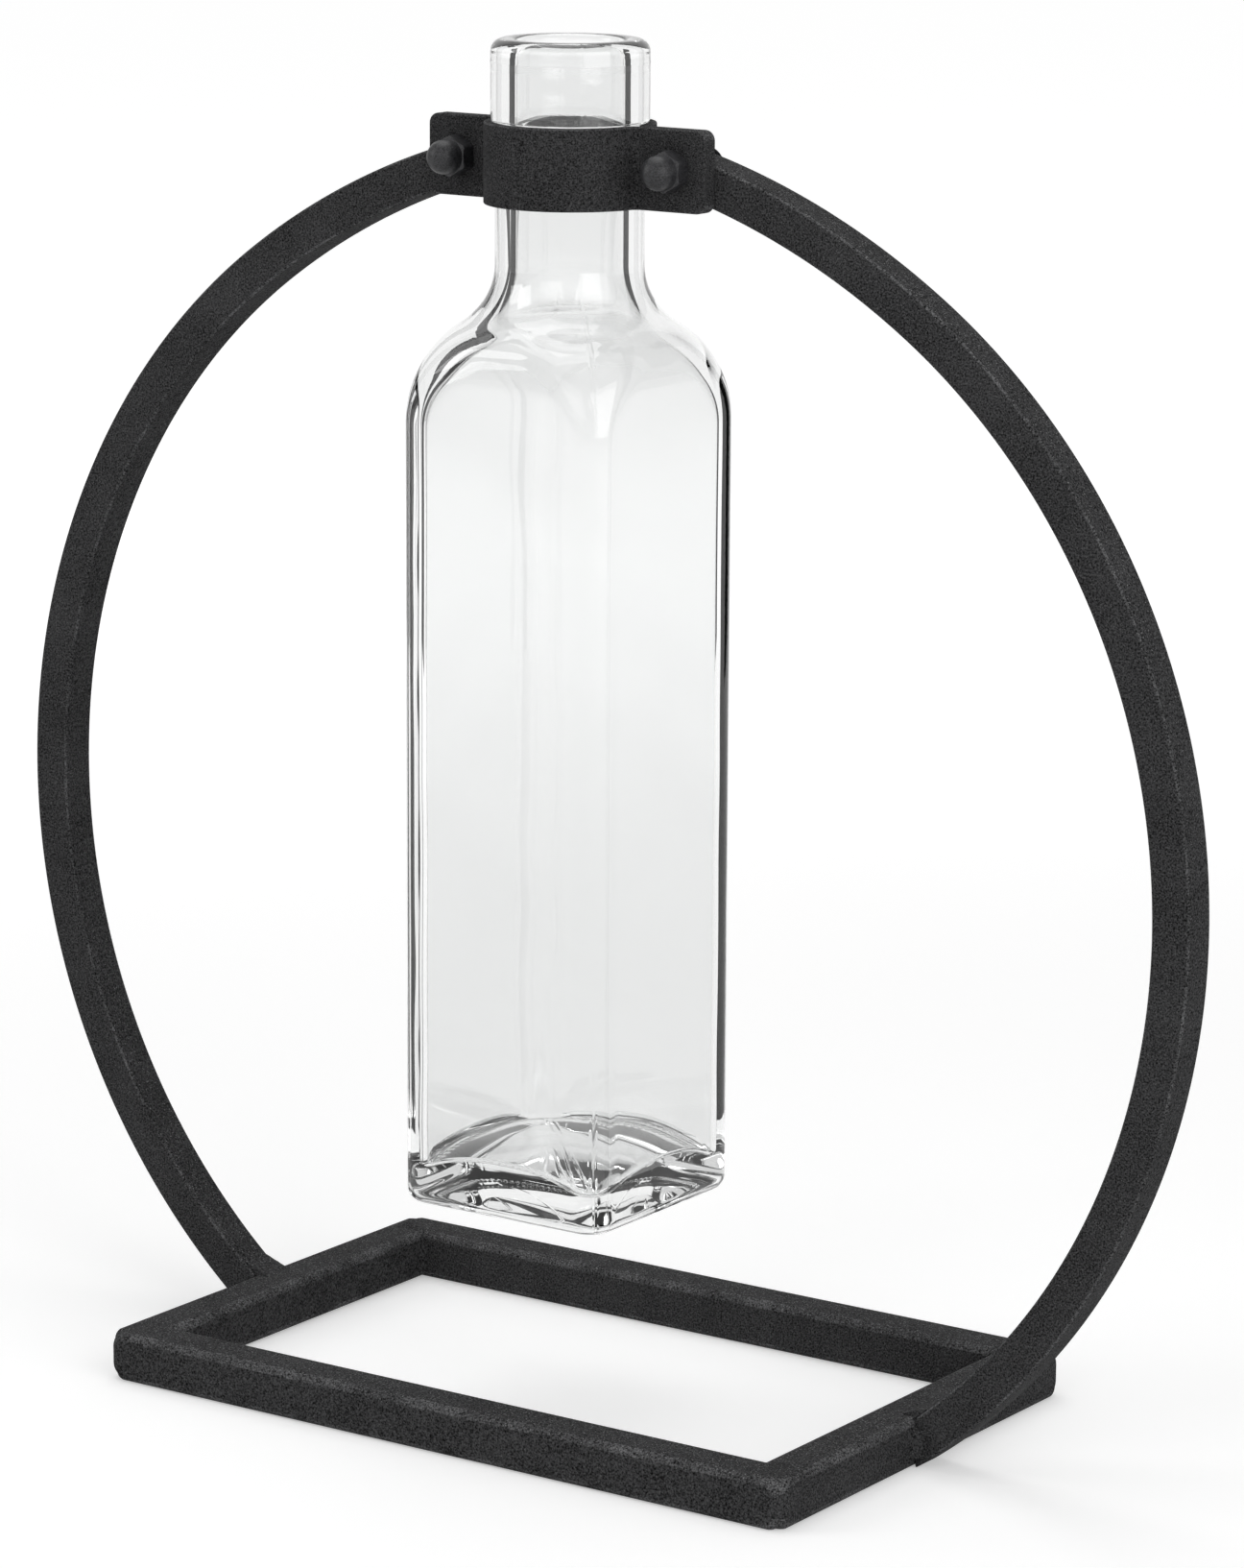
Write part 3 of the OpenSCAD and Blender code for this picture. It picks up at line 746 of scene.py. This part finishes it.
class BOTTLE_STAND_OT_welds(bpy.types.Operator):
    """Dresses the welds in the base's inner corners and round the hoop's feet"""
    bl_idname = "bottle_stand.welds"
    bl_label = "Welds"

    def execute(self, context):
        weld = context.scene.bottle_stand.weld
        tree = uneven_tree()
        places = [f"base_weld_{y_word}_{x_word}" for x_word in SIDES for y_word in ENDS]
        places += [f"foot_weld_{x_word}_{word}" for x_word in SIDES for word in (*ENDS, "top")]
        for seed, cad_node in enumerate(places):
            skin = softened_copy(cad_node, cad_node.replace("weld", "bead"))
            apply_tree(skin, tree, {"Cuts": weld.cuts, "Wave": weld.wave, "Height": weld.height,
                                    "Seed": float(seed)}, iron_coat())
            smooth(skin, weld.crease)
            stand_for(skin, cad_node, iron_coat())
        return {"FINISHED"}


# Collar and fasteners

class BOTTLE_STAND_OT_collar(bpy.types.Operator):
    """Dresses the two bent straps of the collar"""
    bl_idname = "bottle_stand.collar"
    bl_label = "Collar Straps"

    def execute(self, context):
        collar = context.scene.bottle_stand.collar
        for word in ENDS:
            strap = softened_copy(f"collar_{word}_strap", f"bent_{word}_strap",
                                  collar.strap_edge, collar.crease)
            mark_edges(strap, axis=2)
            smooth(strap)
            stand_for(strap, f"collar_{word}_strap", strap_coat())
        return {"FINISHED"}


def ring_stack(name, rings, columns, centre, low_pole, high_pole):
    """Mesh of rings round an axis along +Z, closed at either end by a single point.

    Each ring is a function of the angle that gives (distance from the axis, height). A pole is the
    height of an end's point.
    """
    mesh = bmesh.new()
    rows = []
    for ring in rings:
        row = []
        for angle in columns:
            distance, height = ring(angle)
            row.append(mesh.verts.new((centre[0] + distance * math.cos(angle),
                                       centre[1] + distance * math.sin(angle), height)))
        rows.append(row)
    around = [(k, (k + 1) % len(columns)) for k in range(len(columns))]
    for low, high in zip(rows, rows[1:]):
        for k, after in around:
            mesh.faces.new((low[k], low[after], high[after], high[k]))
    for pole, row, turn in ((low_pole, rows[0], -1), (high_pole, rows[-1], 1)):
        tip = mesh.verts.new((centre[0], centre[1], pole))
        for k, after in around:
            corners = (row[k], row[after], tip)
            mesh.faces.new(corners[::turn])
    bmesh.ops.recalc_face_normals(mesh, faces=mesh.faces)
    data = bpy.data.meshes.new(name)
    mesh.to_mesh(data)
    mesh.free()
    piece = bpy.data.objects.new(name, data)
    bpy.context.scene.collection.objects.link(piece)
    return piece


def arc(steps):
    """Angles of a quarter turn, both ends included."""
    return [math.pi / 2 * k / steps for k in range(steps + 1)]


def level(distance, height):
    """Ring at one distance and height all round."""
    return lambda angle: (distance, height)


def cap_nut(name, nut):
    """Cap nut with its seat at the origin, growing along +Z."""
    across = nut.flats / 2
    corner = across / math.cos(math.pi / 6) - nut.soft
    dome = nut.dome / 2
    tall = NUT_HIGH.y - NUT_LOW.y
    dome_z = tall - dome
    slope = math.tan(math.radians(30))
    hole = nut.hole / 2
    hole_top = tall - nut.wall
    seat = nut.seat
    fillet = nut.fillet

    def hexagon(height, cone):
        def ring(angle):
            from_flat = (angle + math.pi / 6) % (math.pi / 3) - math.pi / 6
            return min(across / math.cos(from_flat), corner, cone), height
        return ring

    rings = [level(hole, hole_top), level(hole, seat), level(hole + seat * 0.8, 0.0)]
    rings += [hexagon(0.0, corner - seat * 0.7), hexagon(seat * 0.4, corner)]
    bare = corner - dome - seat * 0.4
    for k in range(9):
        rings.append(hexagon(nut.hexagon - bare * slope * (1 - k / 8), corner - bare * k / 8))
    rings += [level(dome + fillet * 0.8, nut.hexagon + fillet * 0.3),
              level(dome, nut.hexagon + fillet)]
    rings += [level(dome * math.cos(turn), dome_z + dome * math.sin(turn)) for turn in arc(14)[:-1]]
    columns = [math.tau * k / nut.columns for k in range(nut.columns)]
    return ring_stack(name, rings, columns, (0.0, 0.0), low_pole=hole_top, high_pole=tall)


class BOTTLE_STAND_OT_fasteners(bpy.types.Operator):
    """Makes the cap nuts and dresses the bolts"""
    bl_idname = "bottle_stand.fasteners"
    bl_label = "Bolts and Cap Nuts"

    def execute(self, context):
        stand = context.scene.bottle_stand
        for word, side in SIDES.items():
            bolt = softened_copy(f"clamp_{word}_bolt", f"round_head_{word}_bolt",
                                 stand.collar.bolt_edge, stand.collar.crease)
            smooth(bolt)
            stand_for(bolt, f"clamp_{word}_bolt", fastener_coat())
            nut = cap_nut(f"domed_{word}_nut", stand.nut)
            face_front = Matrix.Rotation(math.pi / 2, 4, "X")
            nut.data.transform(Matrix.Translation((side * BOLT_X, NUT_HIGH.y, BOLT_Z)) @ face_front)
            smooth(nut, stand.nut.crease)
            stand_for(nut, f"clamp_{word}_cap_nut", fastener_coat())
        return {"FINISHED"}


# Bottle

def shoulder_end(body, neck, curve, shoulder, neck_end):
    """Height at which the straight side begins."""
    middle_x = body - shoulder
    return neck_end - math.sqrt((curve + shoulder) ** 2 - (neck + curve - middle_x) ** 2)


def side_half(z, body, neck, curve, shoulder, neck_end):
    """Half width at a height: straight neck, hollow curve, round shoulder, straight side."""
    middle_x = body - shoulder
    middle_z = shoulder_end(body, neck, curve, shoulder, neck_end)
    touch_z = neck_end - (neck_end - middle_z) * curve / (curve + shoulder)
    if z >= neck_end:
        return neck
    if z >= touch_z:
        return neck + curve - math.sqrt(curve ** 2 - (neck_end - z) ** 2)
    if z >= middle_z:
        return middle_x + math.sqrt(shoulder ** 2 - (z - middle_z) ** 2)
    return body


def square_reach(angle, half, corner):
    """Distance from the middle to the edge of a square with round corners."""
    turned = angle % (math.pi / 2)
    turned = min(turned, math.pi / 2 - turned)
    straight = half - corner
    if half * math.tan(turned) <= straight:
        return half / math.cos(turned)
    both = straight * (math.cos(turned) + math.sin(turned))
    return both + math.sqrt(max(both ** 2 - 2 * straight ** 2 + corner ** 2, 0.0))


def squared(half, corner, height, stray=None):
    """Ring in the shape of a square with round corners."""
    def ring(angle):
        distance = square_reach(angle, half, corner)
        return distance + (stray(angle, height) if stray else 0.0), height
    return ring


def corner_for(half, reach):
    """Corner radius with which a square of this half width reaches so far over its corners."""
    root = math.sqrt(2)
    return min(max((half * root - reach) / (root - 1), 0.0), half)


def wall_waves(seed, size):
    """Slow waves over the angle and the height, the same for the same seed."""
    draw = random.Random(seed)
    waves = [(draw.choice((2, 3, 4, 5)), draw.uniform(8, 45), draw.uniform(0, math.tau),
              draw.uniform(0.4, 1.0)) for _ in range(7)]
    total = sum(wave[3] for wave in waves)

    def stray(angle, height):
        return size * sum(part * math.sin(round_turns * angle + rise * height * math.tau + start)
                          for round_turns, rise, start, part in waves) / total
    return stray


def bottle_columns():
    """Directions round the bottle, closer together at its corners."""
    quarter = 44
    columns = []
    for quadrant in range(4):
        for k in range(quarter):
            share = 2 * k / quarter - 1
            spread = 0.34 * share + 0.66 * share ** 3
            columns.append(math.pi / 2 * (quadrant + 0.5) + math.pi / 4 * spread)
    return columns


def glass_form(body, corner, neck, curve, face_shoulder, corner_shoulder, neck_end, low,
               stray=None):
    """Rings of a square body under a round neck, from a height up to the neck's lower end."""
    reach = (body - corner) * math.sqrt(2) + corner
    straight_end = shoulder_end(reach, neck, curve, corner_shoulder, neck_end)
    heights = [low + (straight_end - low) * k / 40 for k in range(40)]
    heights += [straight_end + (neck_end - straight_end) * k / 44 for k in range(45)]
    rings = []
    for z in heights:
        half = side_half(z, body, neck, curve, face_shoulder, neck_end)
        over_corner = side_half(z, reach, neck, curve, corner_shoulder, neck_end)
        rings.append(squared(half, corner_for(half, over_corner), z, stray))
    return rings


def outer_rings(glass, top, seat):
    """Rings of the outside, from the hollow underneath up to the top of the lip."""
    low = BOTTLE_LOW.z
    body = glass.body / 2
    neck = glass.neck / 2
    hollow = body - glass.heel - glass.bearing
    ball = (hollow ** 2 + glass.hollow ** 2) / (2 * glass.hollow)
    rings = []
    for k in range(1, 11):
        distance = hollow * k / 10
        rings.append(level(distance, low + glass.hollow - ball + math.sqrt(ball ** 2 - distance ** 2)))
    for k in (1, 2):
        share = k / 3
        half = hollow + (body - glass.heel - hollow) * share
        rings.append(squared(half, half + (glass.corner - glass.heel - half) * share, low))
    for turn in arc(10):
        inset = glass.heel * (1 - math.sin(turn))
        rings.append(squared(body - inset, glass.corner - inset,
                             low + glass.heel * (1 - math.cos(turn))))
    neck_end = seat - glass.neck_length
    rings += glass_form(body, glass.corner, neck, glass.neck_curve, glass.face_shoulder,
                        glass.corner_shoulder, neck_end, low + glass.heel + glass.heel_gap)
    rings += [level(neck, neck_end + (seat - neck_end) * k / 6) for k in range(1, 6)]
    rings += [level(neck, seat - glass.neck_fillet), level(neck + glass.neck_fillet / 2, seat)]
    finish = glass.finish / 2
    rings += [level(finish - glass.under * (1 - math.sin(turn)),
                    seat + glass.under * (1 - math.cos(turn))) for turn in arc(4)]
    part = top - glass.parting_drop
    rings += [level(finish, seat + (part - seat) * k / 5) for k in (1, 2, 3, 4)]
    rings += [level(finish, part - glass.parting_half), level(finish + glass.parting, part),
              level(finish, part + glass.parting_half)]
    rings += [level(finish - glass.lip * (1 - math.cos(turn)),
                    top - glass.lip * (1 - math.sin(turn))) for turn in arc(14)]
    return rings


def inner_rings(glass, top, seat):
    """Rings of the inside, from the top of the lip down to the inner floor."""
    low = BOTTLE_LOW.z + glass.floor
    bore = glass.bore / 2
    body = glass.body / 2 - glass.wall
    corner = glass.corner - glass.wall / 2
    neck_end = seat - glass.neck_length
    thick = (glass.neck - glass.bore) / 2
    waves = wall_waves(glass.seed, glass.unevenness)
    heel_top = low + glass.inner_heel

    def stray(angle, height):
        share = min(max((neck_end - height) / glass.fade_above, 0.0), 1.0)
        share *= min(max((height - heel_top) / glass.fade_below, 0.0), 1.0)
        return waves(angle, height) * share

    rings = [level(bore + glass.mouth * (1 - math.sin(turn)),
                   top - glass.mouth * (1 - math.cos(turn))) for turn in arc(8)]
    rings += [level(bore, top - glass.mouth - (top - glass.mouth - neck_end) * k / 10)
              for k in range(1, 10)]
    rings += glass_form(body, corner, bore, glass.neck_curve + thick,
                        glass.face_shoulder - glass.wall, glass.corner_shoulder - glass.wall,
                        neck_end, heel_top + glass.heel_gap, stray)[::-1]
    reach = (body - corner) * math.sqrt(2) + corner
    floor_wave = wall_waves(glass.seed + 1, glass.punt_wave)

    def floor_at(distance):
        return low + glass.punt * (1 - min(distance / reach, 1.0) ** glass.cushion)

    def floor_ring(half, round_corner, lift):
        def ring(angle):
            distance = square_reach(angle, half, round_corner)
            share = min(1.0, distance / body)
            wave = floor_wave(angle, 0.0) * share * (1.0 - 0.5 * share)
            return distance, floor_at(distance) + lift + wave
        return ring

    for turn in arc(8)[::-1][1:]:
        inset = glass.inner_heel * (1 - math.sin(turn))
        rings.append(floor_ring(body - inset, max(corner - inset, glass.least_corner),
                                glass.inner_heel * (1 - math.cos(turn))))
    first = max(corner - glass.inner_heel, glass.least_corner)
    for k in range(1, 30):
        share = k / 30
        half = (body - glass.inner_heel) * (1 - share)
        shrunk = first * (1 - share)
        rings.append(floor_ring(half, shrunk + (half - shrunk) * share, 0.0))
    return rings, floor_at(0.0)


def knurl_tree():
    """Joins a row of small bumps under the bottle's rim to its mesh."""
    tree, given, out = new_tree(
        "Foot Knurls", "GeometryNodeTree",
        [("Geometry", "NodeSocketGeometry", None), ("Half", "NodeSocketFloat", 0.02),
         ("Corner", "NodeSocketFloat", 0.003), ("Centre", "NodeSocketVector", None),
         ("Pitch", "NodeSocketFloat", 0.0014), ("Knurl Length", "NodeSocketFloat", 0.0016),
         ("Knurl Height", "NodeSocketFloat", 0.0003), ("Material", "NodeSocketMaterial", None)],
        [("Geometry", "NodeSocketGeometry", None)])
    side = calc(tree, "MULTIPLY", given.outputs["Half"], 2.0)
    square = node(tree, "GeometryNodeCurvePrimitiveQuadrilateral", {"Width": side, "Height": side})
    rounded = node(tree, "GeometryNodeFilletCurve",
                   {"Curve": square.outputs["Curve"], "Radius": given.outputs["Corner"],
                    "Count": 8, "Limit Radius": True}, mode="POLY")
    line = node(tree, "GeometryNodeTransform",
                {"Geometry": rounded.outputs["Curve"], "Translation": given.outputs["Centre"]})
    places = node(tree, "GeometryNodeCurveToPoints",
                  {"Curve": line.outputs["Geometry"], "Length": given.outputs["Pitch"]},
                  mode="LENGTH")
    ball = node(tree, "GeometryNodeMeshIcoSphere", {"Radius": 1.0, "Subdivisions": 3})
    # half sizes of a bump, which leave a gap to the next
    width = calc(tree, "MULTIPLY", given.outputs["Pitch"], 0.42)
    long = calc(tree, "MULTIPLY", given.outputs["Knurl Length"], 0.5)
    size = node(tree, "ShaderNodeCombineXYZ", {"X": long, "Y": given.outputs["Knurl Height"],
                                               "Z": width})
    even = node(tree, "GeometryNodeSetShadeSmooth", {"Geometry": ball.outputs["Mesh"]})
    row = node(tree, "GeometryNodeInstanceOnPoints",
               {"Points": places.outputs["Points"], "Instance": even.outputs["Geometry"],
                "Rotation": places.outputs["Rotation"], "Scale": size.outputs["Vector"]})
    both = node(tree, "GeometryNodeJoinGeometry")
    tree.links.new(row.outputs["Instances"], both.inputs["Geometry"])
    tree.links.new(given.outputs["Geometry"], both.inputs["Geometry"])
    end_tree(tree, both.outputs["Geometry"], given, out)
    return tree


class BOTTLE_STAND_OT_bottle(bpy.types.Operator):
    """Makes the glass bottle that hangs in the collar"""
    bl_idname = "bottle_stand.bottle"
    bl_label = "Glass Bottle"

    def execute(self, context):
        glass = context.scene.bottle_stand.bottle
        top = BOTTLE_HIGH.z
        seat = STRAP_HIGH.z
        inside, floor_top = inner_rings(glass, top, seat)
        rings = outer_rings(glass, top, seat) + inside
        centre = (0.0, (BOTTLE_LOW.y + BOTTLE_HIGH.y) / 2)
        bottle = ring_stack("hanging_bottle", rings, bottle_columns(), centre,
                            low_pole=BOTTLE_LOW.z + glass.hollow, high_pole=floor_top)
        smooth(bottle, glass.crease)
        half = (glass.body - glass.bearing) / 2 - glass.heel
        apply_tree(bottle, knurl_tree(),
                   {"Half": half, "Corner": half / 2, "Centre": (*centre, BOTTLE_LOW.z),
                    "Pitch": glass.knurl_pitch, "Knurl Length": glass.bearing,
                    "Knurl Height": glass.knurl}, clear_glass())
        stand_for(bottle, "glass_bottle", clear_glass())
        return {"FINISHED"}


# Stage

# Camera as solved from the photograph: pixels, metres and radians, its sensor in millimetres
PHOTO_WIDTH, PHOTO_HEIGHT = 1296, 1633
FOCAL_PIXELS = 5968.15
ORIGIN_PIXEL = (607.31, 1444.14)
CAMERA_AZIMUTH = math.radians(34.64)
CAMERA_ELEVATION = math.radians(11.99)
CAMERA_ROLL = math.radians(0.3)
ORIGIN_DEPTH = 1.1374
SENSOR = 36.0

# Side of each lamp, its place and the point it faces, in metres
LAMPS = {
    "overhead": (0.9, (-0.25, 0.15, 1.25), (0.0, 0.0, 0.1)),
    "left": (0.5, (-0.9, -0.7, 0.7), (0.0, 0.0, 0.12)),
    "right": (1.0, (1.05, -0.35, 0.6), (0.0, 0.0, 0.1)),
    "front": (0.8, (0.15, -1.3, 0.8), (0.0, 0.0, 0.12)),
}
FLOOR_HALF = 6.0

# Where the surroundings fade from dark to white: along the view, and upwards
WALL_FADE = (0.62, 0.72)
ROOF_FADE = (0.78, 0.84)


def photo_camera():
    """Camera at the photograph's viewpoint, from where the frame's origin lies in the picture."""
    back = Vector((math.sin(CAMERA_AZIMUTH) * math.cos(CAMERA_ELEVATION),
                   -math.cos(CAMERA_AZIMUTH) * math.cos(CAMERA_ELEVATION),
                   math.sin(CAMERA_ELEVATION)))
    level_right = Vector((math.cos(CAMERA_AZIMUTH), math.sin(CAMERA_AZIMUTH), 0.0))
    level_up = level_right.cross(-back)
    right = math.cos(CAMERA_ROLL) * level_right + math.sin(CAMERA_ROLL) * level_up
    up = math.cos(CAMERA_ROLL) * level_up - math.sin(CAMERA_ROLL) * level_right
    across = (ORIGIN_PIXEL[0] - PHOTO_WIDTH / 2) / FOCAL_PIXELS * ORIGIN_DEPTH
    painted_top_glint = (PHOTO_HEIGHT / 2 - ORIGIN_PIXEL[1]) / FOCAL_PIXELS * ORIGIN_DEPTH
    data = bpy.data.cameras.new("photo_camera")
    data.sensor_width = SENSOR
    data.lens = SENSOR * FOCAL_PIXELS / PHOTO_HEIGHT
    data.clip_start = 0.05
    data.clip_end = 50.0
    camera = bpy.data.objects.new("photo_camera", data)
    turn = Matrix((right, up, back)).transposed().to_4x4()
    place = ORIGIN_DEPTH * back - across * right - painted_top_glint * up
    camera.matrix_world = Matrix.Translation(place) @ turn
    bpy.context.scene.collection.objects.link(camera)
    bpy.context.scene.camera = camera


def seen_ray(tree):
    """1 for rays that carry a picture of the background, 0 for rays that carry its light."""
    light = node(tree, "ShaderNodeLightPath")
    both = calc(tree, "MAXIMUM", light.outputs["Is Camera Ray"], light.outputs["Is Glossy Ray"])
    return calc(tree, "MAXIMUM", both, light.outputs["Is Transmission Ray"])


def paper_material(stage):
    """White paper that keeps the object's shadow and glows just enough to look white."""
    material = bpy.data.materials.new("white_paper")
    material.use_nodes = True
    tree = material.node_tree
    shader = tree.nodes["Principled BSDF"]
    shader.inputs["Base Color"].default_value = (*stage.paper, 1)
    shader.inputs["Roughness"].default_value = 1.0
    shader.inputs["Specular IOR Level"].default_value = 0.0
    shader.inputs["Emission Color"].default_value = (1, 1, 1, 1)
    place = node(tree, "ShaderNodeTexCoord")
    away = node(tree, "ShaderNodeVectorMath", {0: place.outputs["Object"]}, operation="LENGTH")
    glow = node(tree, "ShaderNodeMapRange",
                {"Value": away.outputs["Value"], "From Min": stage.near, "From Max": stage.far,
                 "To Min": stage.near_glow, "To Max": stage.far_glow},
                interpolation_type="SMOOTHSTEP")
    seen = calc(tree, "MULTIPLY", seen_ray(tree), glow.outputs["Result"])
    tree.links.new(seen, shader.inputs["Emission Strength"])
    return material


def white_world(stage):
    """World that looks white, lights the object from all round and is darker beside the view."""
    world = bpy.data.worlds.new("studio")
    world.use_nodes = True
    bpy.context.scene.world = world
    tree = world.node_tree
    sky = tree.nodes["Background"]
    sky.inputs["Color"].default_value = (1, 1, 1, 1)
    place = node(tree, "ShaderNodeTexCoord")
    behind = (-math.sin(CAMERA_AZIMUTH), math.cos(CAMERA_AZIMUTH), 0.0)
    toward = node(tree, "ShaderNodeVectorMath", {0: place.outputs["Generated"], 1: behind},
                  operation="DOT_PRODUCT")
    ahead = calc(tree, "ABSOLUTE", toward.outputs["Value"])
    wall = node(tree, "ShaderNodeMapRange",
                {"Value": ahead, "From Min": WALL_FADE[0], "From Max": WALL_FADE[1]},
                interpolation_type="SMOOTHSTEP")
    axes = node(tree, "ShaderNodeSeparateXYZ", {"Vector": place.outputs["Generated"]})
    roof = node(tree, "ShaderNodeMapRange",
                {"Value": axes.outputs["Z"], "From Min": ROOF_FADE[0], "From Max": ROOF_FADE[1]},
                interpolation_type="SMOOTHSTEP")
    bright = calc(tree, "MAXIMUM", wall.outputs["Result"], roof.outputs["Result"])
    around = node(tree, "ShaderNodeMapRange", {"Value": bright, "To Min": stage.sides})
    light = node(tree, "ShaderNodeLightPath")
    mirrored = calc(tree, "MAXIMUM", light.outputs["Is Glossy Ray"],
                    light.outputs["Is Transmission Ray"])
    shown = node(tree, "ShaderNodeMix", {"Factor": mirrored}, data_type="FLOAT")
    shown.inputs["A"].default_value = stage.fill
    tree.links.new(around.outputs["Result"], shown.inputs["B"])
    strength = calc(tree, "MAXIMUM", shown.outputs["Result"], light.outputs["Is Camera Ray"])
    tree.links.new(strength, sky.inputs["Strength"])


def lamp(name, power, size, place, target):
    """Square soft lamp that faces a point."""
    data = bpy.data.lights.new(name, "AREA")
    data.energy = power
    data.shape = "SQUARE"
    data.size = size
    made = bpy.data.objects.new(name, data)
    made.location = place
    made.rotation_mode = "QUATERNION"
    made.rotation_quaternion = (Vector(target) - Vector(place)).to_track_quat("-Z", "Y")
    bpy.context.scene.collection.objects.link(made)
    made.visible_camera = False


def sheet(name, corners, material):
    """Flat four-cornered sheet that belongs to the stage."""
    data = bpy.data.meshes.new(name)
    data.from_pydata(corners, [], [(0, 1, 2, 3)])
    data.materials.append(material)
    made = bpy.data.objects.new(name, data)
    bpy.context.scene.collection.objects.link(made)
    return made


def black_card(name, stage, side):
    """Upright black card beside and behind the object that only glass and gloss show."""
    material = bpy.data.materials.get("black_card") or bpy.data.materials.new("black_card")
    material.use_nodes = True
    shader = material.node_tree.nodes["Principled BSDF"]
    shader.inputs["Base Color"].default_value = (*stage.card, 1)
    shader.inputs["Roughness"].default_value = 1.0
    aside = Vector((math.cos(CAMERA_AZIMUTH), math.sin(CAMERA_AZIMUTH), 0.0)) * side
    behind = Vector((-math.sin(CAMERA_AZIMUTH), math.cos(CAMERA_AZIMUTH), 0.0))
    middle = aside * stage.card_aside + behind * stage.card_behind
    along = behind * stage.card_width / 2
    low = Vector((0.0, 0.0, stage.card_low))
    high = Vector((0.0, 0.0, stage.card_high))
    card = sheet(name, [middle - along + low, middle + along + low, middle + along + high,
                        middle - along + high], material)
    card.visible_camera = False
    card.visible_diffuse = False
    card.visible_shadow = False


class BOTTLE_STAND_OT_stage(bpy.types.Operator):
    """Sets up the floor, the lamps, the black cards and the camera"""
    bl_idname = "bottle_stand.stage"
    bl_label = "Stage and Camera"

    def execute(self, context):
        stage = context.scene.bottle_stand.stage
        context.scene.view_settings.view_transform = "Standard"
        corners = [(x * FLOOR_HALF, y * FLOOR_HALF, 0.0)
                   for x, y in ((-1, -1), (1, -1), (1, 1), (-1, 1))]
        sheet("paper_floor", corners, paper_material(stage))
        white_world(stage)
        for word, (size, place, target) in LAMPS.items():
            lamp(f"{word}_lamp", getattr(stage, f"{word}_power"), size, place, target)
        for word, side in SIDES.items():
            black_card(f"{word}_card", stage, side)
        photo_camera()
        return {"FINISHED"}


STEPS = (BOTTLE_STAND_OT_base, BOTTLE_STAND_OT_welds, BOTTLE_STAND_OT_hoop,
         BOTTLE_STAND_OT_collar, BOTTLE_STAND_OT_fasteners, BOTTLE_STAND_OT_bottle,
         BOTTLE_STAND_OT_stage)


class BOTTLE_STAND_PT_panel(bpy.types.Panel):
    """Lists the steps that build the stand"""
    bl_idname = "BOTTLE_STAND_PT_panel"
    bl_label = "Bottle Stand"
    bl_space_type = "VIEW_3D"
    bl_region_type = "UI"
    bl_category = "Bottle Stand"

    def draw(self, context):
        for step in STEPS:
            self.layout.operator(step.bl_idname)


CLASSES = (*SETTINGS.values(), StandSettings, *STEPS, BOTTLE_STAND_PT_panel)


def register():
    """Makes the settings, the steps and the panel known to Blender."""
    for item in CLASSES:
        bpy.utils.register_class(item)
    bpy.types.Scene.bottle_stand = PointerProperty(type=StandSettings)


def unregister():
    """Takes the settings, the steps and the panel out of Blender again."""
    del bpy.types.Scene.bottle_stand
    for item in reversed(CLASSES):
        bpy.utils.unregister_class(item)


def main():
    register()
    for step in STEPS:
        group, name = step.bl_idname.split(".")
        getattr(getattr(bpy.ops, group), name)()


if __name__ == "__main__":
    main()
